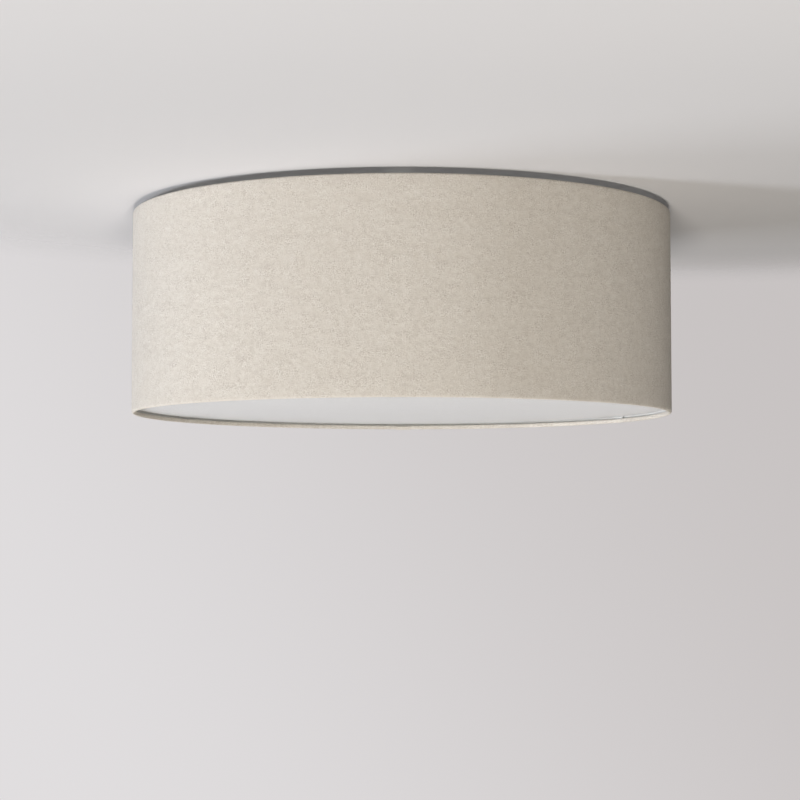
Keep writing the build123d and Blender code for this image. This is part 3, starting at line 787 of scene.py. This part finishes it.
class CEILINGLIGHT_OT_shade_cloth(bpy.types.Operator):
    """Make the cloth of the shade, rolled over both rings and lapped at the back"""
    bl_idname = "ceilinglight.shade_cloth"
    bl_label = "Shade Cloth"

    def execute(self, context):
        sizes = context.scene.shade_sizes
        linen = heathered_linen("heathered_linen", sizes)
        cloth = new_piece("shade_cloth", cloth_mesh(sizes), "shade", [linen], ["shade_fabric"])
        cut_height = lengths_along(hem_path(sizes.tuck, 0.0))[-1]
        return {"FINISHED"}


class CEILINGLIGHT_OT_shade_frame(bpy.types.Operator):
    """Finish the liner, the rings with their arms and tabs, and the magnets"""
    bl_idname = "ceilinglight.shade_frame"
    bl_label = "Shade Frame"

    def execute(self, context):
        finish_node("shade_liner", "liner_white")
        finish_node("top_ring", "white_paint")
        finish_node("bottom_ring", "white_paint", 0.25 * MM)
        finish_node("shade_arms", "white_paint", 0.35 * MM)
        magnets = Form()
        low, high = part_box("holding_magnets")
        edge = 0.4 * MM
        face = MAGNET_RADIUS - edge
        profile = [(0.0, low.z), (face, low.z), (MAGNET_RADIUS, low.z + edge),
                   (MAGNET_RADIUS, high.z - edge), (face, high.z), (0.0, high.z)]
        reach = -low.y - MAGNET_RADIUS
        for turn in (-90.0, 30.0, 150.0):
            magnets.turn(profile, upright(reach * cos(radians(turn)), reach * sin(radians(turn))))
        stand_in(magnets, "magnet_discs", "shade", "nickel", "holding_magnets")
        return {"FINISHED"}


class CEILINGLIGHT_OT_diffuser(bpy.types.Operator):
    """Make the opal diffuser with its rounded edge, and finish its steel plates"""
    bl_idname = "ceilinglight.diffuser"
    bl_label = "Diffuser"

    def execute(self, context):
        low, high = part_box("diffuser_disc")
        edge = 0.5 * MM
        rim = high.x - edge
        rings = [high.x * i / 12 for i in range(1, 12)]
        quarter_turn = [radians(a) for a in range(0, 91, 15)]
        profile = [(0.0, low.z)] + [(radius, low.z) for radius in rings]
        profile += [(rim + edge * sin(turn), low.z + edge - edge * cos(turn)) for turn in quarter_turn]
        profile += [(rim + edge * cos(turn), high.z - edge + edge * sin(turn)) for turn in quarter_turn]
        profile += [(radius, high.z) for radius in reversed(rings)] + [(0.0, high.z)]
        disc = Form()
        disc.turn(profile, Matrix(), 256)
        stand_in(disc, "opal_disc", "diffuser", "opal_sheet", "diffuser_disc")
        finish_node("strike_plates", "zinc_steel", 0.2 * MM)
        return {"FINISHED"}


class CEILINGLIGHT_OT_pan(bpy.types.Operator):
    """Finish the pan, the crossbar, the grommet and the lampholders' brackets"""
    bl_idname = "ceilinglight.pan"
    bl_label = "Pan And Crossbar"

    def execute(self, context):
        finish_node("ceiling_pan", "white_paint", 0.3 * MM)
        finish_node("crossbar", "zinc_steel", 0.25 * MM)
        finish_node("wire_grommet", "grommet_rubber", 0.2 * MM)
        finish_node("holder_brackets", "white_paint", 0.3 * MM)
        return {"FINISHED"}


class CEILINGLIGHT_OT_fasteners(bpy.types.Operator):
    """Make the threaded studs, the nuts and the screws"""
    bl_idname = "ceilinglight.fasteners"
    bl_label = "Studs, Nuts And Screws"

    def execute(self, context):
        self.bar_studs()
        self.shade_studs()
        self.screws()
        self.earth_post()
        return {"FINISHED"}

    def bar_studs(self):
        """The crossbar's two studs, each with its lock nut and its domed nut."""
        studs = Form()
        lock_nuts = Form()
        dome_nuts = Form()
        lock_low, lock_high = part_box("stud_lock_nuts")
        dome_low, dome_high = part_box("pan_dome_nuts")
        bar_x = STUD_HIGH.x - STUD_RADIUS
        for x in (-bar_x, bar_x):
            screw_thread(studs, upright(x, 0.0), STUD_LOW.z, STUD_HIGH.z)
            hex_nut(lock_nuts, upright(x, 0.0, 0.0, NUT_FLAT_FORWARD), lock_low.z, lock_high.z)
            dome_nut(dome_nuts, downward(x, 0.0, 0.0, NUT_FLAT_FORWARD), -dome_high.z, -dome_low.z)
        stand_in(studs, "threaded_bar_studs", "base", "zinc_steel", "crossbar_studs")
        stand_in(lock_nuts, "lock_nuts", "base", "zinc_steel", "stud_lock_nuts", 25.0)
        stand_in(dome_nuts, "dome_nuts", "base", "nickel", "pan_dome_nuts", 25.0)

    def shade_studs(self):
        """The pan's three studs for the shade's arms, each with its knurled nut."""
        studs = Form()
        low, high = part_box("shade_studs")
        for joint in frame["joints"]:
            if joint["type"] == "hinge":
                x, y, _ = joint["pos_m"]
                screw_thread(studs, upright(x, y), low.z, high.z)
                self.thumb_nut(joint["child"], x, y)
        stand_in(studs, "threaded_shade_studs", "base", "zinc_steel", "shade_studs")

    def thumb_nut(self, name, x, y):
        """A knurled nut with a smooth boss on top."""
        low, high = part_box(name)
        rim = 7.0 * MM
        shoulder = high.z - 2.5 * MM
        profile = millimetres([(2.1, 0.0), (5.9, 0.0), (6.3, 0.15), (7.0, 0.8)], low.z)
        profile += ladder(rim, low.z + 1.1 * MM, shoulder - 1.1 * MM, 4)
        profile += millimetres([(7.0, -0.8), (6.3, -0.15), (5.9, 0.0), (4.7, 0.0), (4.5, 0.2)], shoulder)
        profile += millimetres([(4.5, -0.3), (4.2, 0.0), (2.4, 0.0), (2.1, -0.3)], high.z)
        knurls = fluted(40, 0.5 * MM, low.z + 0.3 * MM, shoulder - 0.3 * MM, rim * 0.98, 0.5 * MM)
        form = Form()
        form.turn(profile, upright(x, y), 240, shape=knurls, closed=True)
        stand_in(form, "knurled_" + name, name, "nickel", name, 40.0)

    def screws(self):
        """The brackets' six screws, each left at a turn of its own, and the terminal block's one."""
        head = screw_head()
        bracket_screws = Form()
        low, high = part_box("bracket_screws")
        seat = low.z + SCREW_HEAD_HEIGHT
        for number in LAMP_NUMBERS:
            along = LAMP_AXES[number]
            for side in (-BRACKET_SCREW_SIDE, BRACKET_SCREW_SIDE):
                x = along.x * BRACKET_SCREW_CIRCLE - along.y * side
                y = along.y * BRACKET_SCREW_CIRCLE + along.x * side
                turned = radians(23.0) + side * 90.0 + number
                bracket_screws.add_mesh(head, downward(x, y, seat, turned))
                screw_thread(bracket_screws, upright(x, y), seat, high.z)
        stand_in(bracket_screws, "cross_head_screws", "base", "zinc_steel", "bracket_screws")

        block_screw = Form()
        low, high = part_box("block_screw")
        middle = (low + high) / 2
        seat = high.z - SCREW_HEAD_HEIGHT
        block_screw.add_mesh(head, upright(middle.x, middle.y, seat, radians(17.0)))
        screw_thread(block_screw, upright(middle.x, middle.y), low.z, seat)
        stand_in(block_screw, "block_cross_screw", "base", "zinc_steel", "block_screw")

    def earth_post(self):
        """The earth post with its nut and its ring tag."""
        post = Form()
        screw_thread(post, upright(POST_X, POST_Y), POST_LOW.z, POST_HIGH.z)
        stand_in(post, "threaded_earth_post", "base", "zinc_steel", "earth_post")
        nut = Form()
        low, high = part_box("earth_nut")
        hex_nut(nut, upright(POST_X, POST_Y, 0.0, NUT_FLAT_FORWARD), low.z, high.z)
        stand_in(nut, "earth_hex_nut", "base", "zinc_steel", "earth_nut", 25.0)
        finish_node("earth_tag", "contact_brass", 0.12 * MM)


class CEILINGLIGHT_OT_lampholders(bpy.types.Operator):
    """Make the moulded lampholders with their brass shells, nipples and nuts"""
    bl_idname = "ceilinglight.lampholders"
    bl_label = "Lampholders"

    def execute(self, context):
        domes = Form()
        nipples = Form()
        nuts = Form()
        for number in LAMP_NUMBERS:
            place = holder_place(number)
            self.dome(domes, place)
            self.nipple(nipples, place)
            hex_nut(nuts, place, -4.5 * MM, -1.5 * MM, 14.0 * MM, NIPPLE_RADIUS)
            self.cup(number, place)
            self.shell(number, place)
        stand_in(domes, "moulded_domes", "base", "holder_plastic", "holder_domes")
        stand_in(nipples, "threaded_nipples", "base", "zinc_steel", "holder_nipples")
        stand_in(nuts, "nipple_hex_nuts", "base", "zinc_steel", "nipple_nuts", 25.0)
        finish_node("centre_contacts", "contact_brass", 0.1 * MM)
        return {"FINISHED"}

    def dome(self, form, place):
        """The rear half: a shouldered dome with flutes and a groove near its rim."""
        profile = [(5.3, 0.0), (12.9, 0.0), (13.7, 0.3), (14.0, 1.0)]
        for turn in range(12, 91, 6):
            profile.append((14.0 + 4.5 * sin(radians(turn)), 1.0 + 8.6 * (1.0 - cos(radians(turn)))))
        profile += [(18.5, 12.0), (18.5, 14.6), (18.1, 14.9), (18.1, 15.5), (18.5, 15.8), (18.5, 17.7),
                    (18.2, 18.0), (16.0, 18.0), (16.0, 12.0), (12.0, 3.0), (5.3, 3.0)]
        flutes = fluted(24, 0.6 * MM, 3.0 * MM, 14.4 * MM, 14.4 * MM, 2.0 * MM)
        form.turn(millimetres(profile), place, 192, shape=flutes, closed=True)

    def nipple(self, form, place):
        """The threaded tube that holds a lampholder to its bracket and lets its leads through."""
        behind = -7.0 * MM
        inside = 7.9 * MM
        chamfer = 0.4 * MM
        profile = [(2.7 * MM, behind), (4.5 * MM, behind)]
        profile += ladder(NIPPLE_RADIUS, behind + chamfer, inside - chamfer, 90)
        profile += [(4.5 * MM, inside), (2.7 * MM, inside)]
        form.turn(profile, place, 32, shape=threaded(1.0 * MM, 0.4 * MM, behind, inside, 4.6 * MM),
                  closed=True)

    def cup(self, number, place):
        """The front half: a fluted cup with a rounded lip."""
        profile = [(0.0, 18.1), (18.9, 18.1), (19.5, 18.7), (19.5, 21.8)]
        profile += ladder(19.5, 22.4, 46.6, 8)
        profile += [(19.5, 47.2), (19.5, 48.6), (19.2, 48.9), (19.2, 49.4), (19.5, 49.7), (19.5, 51.2),
                    (19.2, 51.8), (18.6, 52.0), (17.7, 52.0), (17.3, 51.8), (17.1, 51.3), (17.1, 44.4),
                    (17.1, 21.0), (0.0, 21.0)]
        flutes = fluted(36, 0.55 * MM, 21.8 * MM, 47.2 * MM, 19.3 * MM, 1.2 * MM)
        form = Form()
        form.turn(millimetres(profile), place, 216, shape=flutes)
        name = f"holder_cup_{number}"
        stand_in(form, "moulded_" + name, "base", "holder_plastic", name)

    def shell(self, number, place):
        """The brass sleeve with its rolled thread."""
        rows = 44

        def rolled(radius, height, turn):
            wave = 0.5 + 0.5 * cos(tau * (height / LAMP_THREAD_PITCH - turn / tau))
            return radius - 0.12 * MM * wave

        profile = ladder(13.75 * MM, HOLDER_FLOOR, SHELL_END, rows)
        profile += ladder(13.45 * MM, SHELL_END, HOLDER_FLOOR, rows)
        form = Form()
        form.turn(profile, place, 64, shape=rolled, closed=True)
        name = f"screw_shell_{number}"
        stand_in(form, "rolled_" + name, "base", "contact_brass", name, 50.0)


class CEILINGLIGHT_OT_lamps(bpy.types.Operator):
    """Make the three tubular lamps with their screw caps"""
    bl_idname = "ceilinglight.lamps"
    bl_label = "Lamps"

    def execute(self, context):
        for number in LAMP_NUMBERS:
            place = holder_place(number)
            self.cap(number, place)
            self.housing(number, place)
            self.tube(number, place)
        return {"FINISHED"}

    def cap(self, number, place):
        """Tip, black insulator and threaded shell."""
        form = Form()
        tip = [(0.0, 25.3), (2.6, 25.3), (3.9, 25.7), (4.6, 26.6), (4.8, 27.6), (4.8, 28.6), (0.0, 28.6)]
        form.turn(millimetres(tip), place, 40)
        glass = [(0.0, 27.7), (4.9, 27.7), (6.0, 28.2), (9.3, 30.0), (11.2, 31.2), (11.7, 32.0),
                 (11.7, 33.4), (0.0, 33.4)]
        form.turn(millimetres(glass), place, 48, finish=1)
        low = 32.0 * MM
        high = 48.2 * MM
        crest = 13.1 * MM
        root = 12.1 * MM

        def rolled(radius, height, turn):
            if not low <= height <= high:
                return radius
            from_end = min(height - low, high - height)
            fade = min(1.0, from_end / LAMP_THREAD_PITCH * 1.6)
            wave = 0.5 - 0.5 * cos(tau * (height / LAMP_THREAD_PITCH - turn / tau))
            return crest - (crest - root) * (1.0 - fade * wave)

        shell = millimetres([(0.0, 31.8), (11.5, 31.6), (12.0, 31.8)])
        shell += ladder(root, low, high, 54)
        shell += millimetres([(12.5, 48.6), (13.0, 49.0), (13.1, 49.4), (13.1, 51.0)])
        shell += [(12.9 * MM, CAP_END), (0.0, CAP_END)]
        form.turn(shell, place, 64, shape=rolled)
        name = f"lamp_cap_{number}"
        stand_in(form, "threaded_" + name, f"lamp_{number}", "cap_nickel", name, 50.0, ["lamp_glass"])

    def housing(self, number, place):
        """The driver's housing, flared from the cap to the tube."""
        profile = [(0.0, 51.3), (13.5, 51.3), (13.9, 51.5), (14.1, 52.0)]
        for i in range(1, 13):
            share_up = i / 12
            eased = share_up * share_up * (3.0 - 2.0 * share_up)
            profile.append((14.1 + 4.9 * eased, 52.0 + 9.0 * share_up))
        profile += [(19.0, 66.0), (19.0, 73.3), (18.7, 73.6), (18.7, 74.0), (19.0, 74.3), (19.0, 74.9),
                    (18.7, 75.3), (0.0, 75.3)]
        form = Form()
        form.turn(millimetres(profile), place, 96)
        name = f"lamp_housing_{number}"
        stand_in(form, "moulded_" + name, f"lamp_{number}", "lamp_white", name, 30.0)

    def tube(self, number, place):
        """The opal tube with its rounded end."""
        profile = [(0.0, 75.32), (18.3, 75.32), (18.5, 75.6)] + ladder(18.5, 80.0, 130.0, 6)
        for turn in range(0, 91, 6):
            profile.append((9.5 + 9.0 * cos(radians(turn)), 132.3 + 9.0 * sin(radians(turn))))
        profile += [(6.0, 141.3), (0.0, 141.3)]
        form = Form()
        form.turn(millimetres(profile), place, 96)
        name = f"lamp_tube_{number}"
        stand_in(form, "opal_" + name, f"lamp_{number}", "lamp_opal", name, 30.0)


class CEILINGLIGHT_OT_wiring(bpy.types.Operator):
    """Lay the leads and their sleeves, and make the terminal block's buttons"""
    bl_idname = "ceilinglight.wiring"
    bl_label = "Wiring"

    def execute(self, context):
        floor = PAN_LOW.z + PAN_SHEET
        live_z = floor + 9.5 * MM
        neutral_z = floor + 3.6 * MM
        sleeves = []
        lives = []
        neutrals = []
        from_left = sorted(LAMP_NUMBERS, key=lambda number: LAMP_AXES[number].x)
        for i, number in enumerate(from_left):
            along = LAMP_AXES[number].normalized()
            aside = Vector((-along.y, along.x, 0.0)) * MM
            if along.x > -NEARLY_NOTHING:
                aside = -aside
            hole_x = (i - 1) * BLOCK_PITCH
            top = along * 3.3 * MM
            top.z = floor + 2.0 * MM
            start = along * (HOLDER_SEAT - 5.0 * MM)
            start.z = LAMP_AXIS_Z
            bend = Vector((top.x, top.y, LAMP_AXIS_Z))
            sleeves.append([start, start.lerp(bend, 0.5), bend, bend.lerp(top, 0.5), top])
            lives.append(self.route(top + aside, hole_x, live_z))
            neutrals.append(self.route(top - aside, hole_x, neutral_z))
        round_leads("sleeves", sleeves, SLEEVE_RADIUS, "sleeve_white", "lead_sleeves")
        round_leads("brown_leads", lives, LEAD_RADIUS, "live_brown", "live_leads")
        round_leads("blue_leads", neutrals, LEAD_RADIUS, "neutral_blue", "neutral_leads")
        earth = self.earth_route(neutral_z, floor + 1.6 * MM)
        round_leads("green_yellow_lead", [earth], LEAD_RADIUS, "earth_green", "earth_lead")
        finish_node("terminal_block", "block_plastic", 0.35 * MM)
        self.buttons()
        return {"FINISHED"}

    def route(self, start, hole_x, hole_z):
        """The points of one lead from its sleeve's end, up and over to a hole in the block."""
        rise = Vector((start.x, start.y, hole_z + MM))
        near = Vector((hole_x, BLOCK_LOW.y - 8.0 * MM, hole_z))
        crest = rise.lerp(near, 0.35) + Vector((0.0, 0.0, 2.0 * MM))
        return [start, rise, crest, near, Vector((hole_x, BLOCK_LOW.y + LEAD_IN_BLOCK, hole_z))]

    def earth_route(self, hole_z, tag_z):
        """The points of the earth lead, from the block round to its ring tag."""
        hole_x = 17.0 * MM
        tag_end = 20.4 * MM
        bend_y = tag_end - 10.0 * MM
        return [(hole_x, BLOCK_LOW.y + LEAD_IN_BLOCK, hole_z), (hole_x, bend_y, hole_z),
                (hole_x + 4.0 * MM, bend_y - 7.0 * MM, hole_z),
                ((hole_x + POST_X) / 2, bend_y - 10.0 * MM, hole_z),
                (POST_X - 4.0 * MM, bend_y - 7.0 * MM, tag_z), (POST_X, bend_y, tag_z),
                (POST_X, tag_end - 2.0 * MM, tag_z)]

    def buttons(self):
        """The push buttons on the terminal block."""
        form = Form()
        for column, from_face in BUTTON_PLACES:
            x = column * BLOCK_PITCH
            y = BLOCK_LOW.y + from_face * MM
            low = (x - 2.0 * MM, y - 1.7 * MM, BLOCK_HIGH.z - 0.5 * MM)
            high = (x + 2.0 * MM, y + 1.7 * MM, BLOCK_HIGH.z + 1.1 * MM)
            form.add_mesh(box_mesh("button", low, high, 0.4 * MM), Matrix())
        new_piece("block_buttons", form.mesh("block_buttons", 30.0), "base", [look("button_grey")])


# ---------------------------------------------------------------- stage
# each light: its name, azimuth and elevation in degrees, distance and size in metres, strength and tint;
# azimuth 0 is on the camera's side, and minus is left
LIGHTS = (
    ("window", -64.0, -26.0, 3.6, 0.5, 0.43, (0.96, 1.0, 1.07)),
    ("rear_window", -110.0, -22.0, 3.6, 1.8, 0.49, (0.97, 1.0, 1.05)),
    ("front_fill", 0.0, -42.0, 3.6, 1.2, 0.79, (1.03, 0.975, 0.885)),
    ("top_fill", 20.0, 72.0, 2.6, 1.6, 0.46, (1.02, 1.0, 0.94)),
    ("upper_right", 75.0, 32.0, 3.2, 1.8, 0.5, (1.0, 1.0, 1.0)),
    ("upper_back", 195.0, 32.0, 3.2, 1.8, 0.5, (1.0, 1.0, 1.0)),
)
AMBIENT_TINT = (1.03, 0.98, 0.89)
BACKDROP_HALF_WIDTH = 0.25
# Painted light: out to the first radius the ceiling keeps its paler colour near the light, which evens out
# the shade cast around the light; past the second radius it has its plain colour
PAINTED_LIGHT_FULL_REACH = 0.3
PAINTED_LIGHT_END_REACH = 0.65
FADE_X = 0.25
FADE_Y = -0.45


def soft_box(name, azimuth, elevation, distance, size, strength, tint):
    """A square light that looks at the middle of the shade."""
    azimuth = radians(azimuth)
    elevation = radians(elevation)
    middle = Vector((0.0, 0.0, (SHADE_TOP + SHADE_BOTTOM) / 2))
    away = Vector((sin(azimuth) * cos(elevation), -cos(azimuth) * cos(elevation), sin(elevation)))
    lamp = bpy.data.lights.new(name, "AREA")
    lamp.shape = "SQUARE"
    lamp.size = size
    lamp.energy = strength * (pi * distance) ** 2
    lamp.color = tint
    box = bpy.data.objects.new(name, lamp)
    box.location = middle + away * distance
    box.rotation_euler = (-away).to_track_quat("-Z", "Y").to_euler()
    bpy.context.scene.collection.objects.link(box)


def looked_at(nodes):
    """Whether a ray comes from the camera, from a reflection or through glass, and the ray's outputs."""
    ray = nodes.add("ShaderNodeLightPath").outputs
    seen = nodes.most(ray["Is Camera Ray"], ray["Is Glossy Ray"], ray["Is Transmission Ray"])
    return seen, ray


def ceiling_finish(sizes):
    """Matt ceiling paint that fades into the backdrop far from the light.

    It is there for what looks at it from below. What looks down through it from above sees the light's open
    top, with the light that falls on it from there.
    """
    finish = Finish("ceiling_paint")
    clouds = finish.grain(finish.place(), 3.0, 3.0)
    from_middle = finish.reach()
    # Painted light: close to the light the paint is paler, standing in for light that evens out the shade
    # the light casts on the ceiling around it
    past_painted_light = finish.spread(from_middle, PAINTED_LIGHT_FULL_REACH, PAINTED_LIGHT_END_REACH, smooth=True)
    tone = finish.blend(past_painted_light, sizes.ceiling_near_painted_light, sizes.ceiling)
    tone = finish.blend(finish.spread(clouds, NOISE_LOW, NOISE_HIGH, 0.0, 0.05), tone, sizes.backdrop)
    finish.set(Base_Color=tone, Roughness=0.9, Specular_IOR_Level=0.1)

    seen, ray = looked_at(finish)
    far = finish.spread(finish.reach(FADE_X, FADE_Y), sizes.fade_start, sizes.fade_end, smooth=True)
    faded = finish.product(far, seen)
    unseen = finish.math("SUBTRACT", 1.0, ray["Is Camera Ray"])
    inside = finish.math("LESS_THAN", from_middle, SHADE_RADIUS - 10.0 * MM)
    leak = finish.product(finish.product(unseen, inside), sizes.leak)
    from_above = finish.add("ShaderNodeNewGeometry").outputs["Backfacing"]
    come_through = finish.math("GREATER_THAN", ray["Transparent Depth"], 0.5)
    open_share = finish.most(from_above, come_through, faded, leak)
    finish.mix(open_share, finish.shader, finish.add("ShaderNodeBsdfTransparent"), "Material Output")
    return finish.material


def studio_world(sizes):
    """Faint warm light from all round, behind a backdrop that is paler on the window's side."""
    world = bpy.data.worlds.new("studio")
    world.use_nodes = True
    nodes = Nodes(world.node_tree)
    ambient = nodes.tree.nodes["Background"]
    nodes.put(ambient.inputs["Color"], AMBIENT_TINT)
    nodes.put(ambient.inputs["Strength"], sizes.ambient)
    # Painted light: the backdrop's colour runs from paler on the window's side to darker on the far side,
    # leaning with height
    around = nodes.add("ShaderNodeTexCoord").outputs["Generated"]
    towards = nodes.add("ShaderNodeSeparateXYZ", Vector=around).outputs
    slanted = nodes.math("MULTIPLY_ADD", towards["Z"], sizes.backdrop_slant, towards["X"])
    across = nodes.spread(slanted, -BACKDROP_HALF_WIDTH, BACKDROP_HALF_WIDTH, smooth=True)
    shade = nodes.blend(across, sizes.backdrop_left, sizes.backdrop_right)
    backdrop = nodes.add("ShaderNodeBackground", Color=shade)
    seen, _ = looked_at(nodes)
    nodes.mix(seen, ambient, backdrop, "World Output")
    return world


class CEILINGLIGHT_OT_stage(bpy.types.Operator):
    """Make the ceiling, the backdrop, the studio lights and the camera"""
    bl_idname = "ceilinglight.stage"
    bl_label = "Stage"

    def execute(self, context):
        scene = context.scene
        sizes = scene.stage_sizes
        scene.view_settings.view_transform = "Standard"
        self.ceiling(scene, sizes)
        scene.world = studio_world(sizes)
        for light in LIGHTS:
            soft_box(*light)
        self.camera(scene, sizes)
        return {"FINISHED"}

    def ceiling(self, scene, sizes):
        """A round stretch of ceiling that faces down."""
        around = 96
        points = [(0.0, 0.0, 0.0)]
        for i in range(around):
            turn = tau * i / around
            points.append((sizes.ceiling_reach * cos(turn), -sizes.ceiling_reach * sin(turn), 0.0))
        faces = [(0, 1 + i, 1 + (i + 1) % around) for i in range(around)]
        mesh = bpy.data.meshes.new("ceiling")
        mesh.from_pydata(points, [], faces)
        mesh.materials.append(ceiling_finish(sizes))
        ceiling = bpy.data.objects.new("ceiling", mesh)
        scene.collection.objects.link(ceiling)

    def camera(self, scene, sizes):
        """The camera, in front of the light and below it, looking a little up."""
        view = bpy.data.cameras.new("camera")
        view.sensor_width = 36.0
        view.lens = sizes.lens / MM
        camera = bpy.data.objects.new("camera", view)
        camera.location = (-sizes.eye_side, -sizes.eye_distance, -sizes.eye_depth)
        camera.rotation_euler = (pi / 2 + sizes.eye_pitch, 0.0, 0.0)
        scene.collection.objects.link(camera)
        scene.camera = camera


class CEILINGLIGHT_PT_panel(bpy.types.Panel):
    """Lists the steps that dress the light"""
    bl_idname = "CEILINGLIGHT_PT_panel"
    bl_label = "Ceiling Light"
    bl_space_type = "VIEW_3D"
    bl_region_type = "UI"
    bl_category = "Ceiling Light"

    def draw(self, context):
        for step in STEPS:
            self.layout.operator(step.bl_idname)
        for name in SETTINGS:
            group = getattr(context.scene, name)
            for setting in group.bl_rna.properties.keys():
                if setting not in ("rna_type", "name"):
                    self.layout.prop(group, setting)


STEPS = (CEILINGLIGHT_OT_stage, CEILINGLIGHT_OT_shade_cloth, CEILINGLIGHT_OT_shade_frame,
         CEILINGLIGHT_OT_diffuser, CEILINGLIGHT_OT_pan, CEILINGLIGHT_OT_fasteners,
         CEILINGLIGHT_OT_lampholders, CEILINGLIGHT_OT_lamps, CEILINGLIGHT_OT_wiring)
SETTINGS = {"shade_sizes": ShadeSizes, "finish_colours": FinishColours, "stage_sizes": StageSizes}
CLASSES = (*SETTINGS.values(), *STEPS, CEILINGLIGHT_PT_panel)


def register():
    """Adds the classes and their settings to Blender."""
    for kind in CLASSES:
        bpy.utils.register_class(kind)
    for name, kind in SETTINGS.items():
        setattr(bpy.types.Scene, name, bpy.props.PointerProperty(type=kind))


def unregister():
    """Takes them out again."""
    for name in SETTINGS:
        delattr(bpy.types.Scene, name)
    for kind in reversed(CLASSES):
        bpy.utils.unregister_class(kind)


def main():
    """Dresses the light step by step."""
    register()
    for step in STEPS:
        group, name = step.bl_idname.split(".")
        getattr(getattr(bpy.ops, group), name)()


if __name__ == "__main__":
    main()
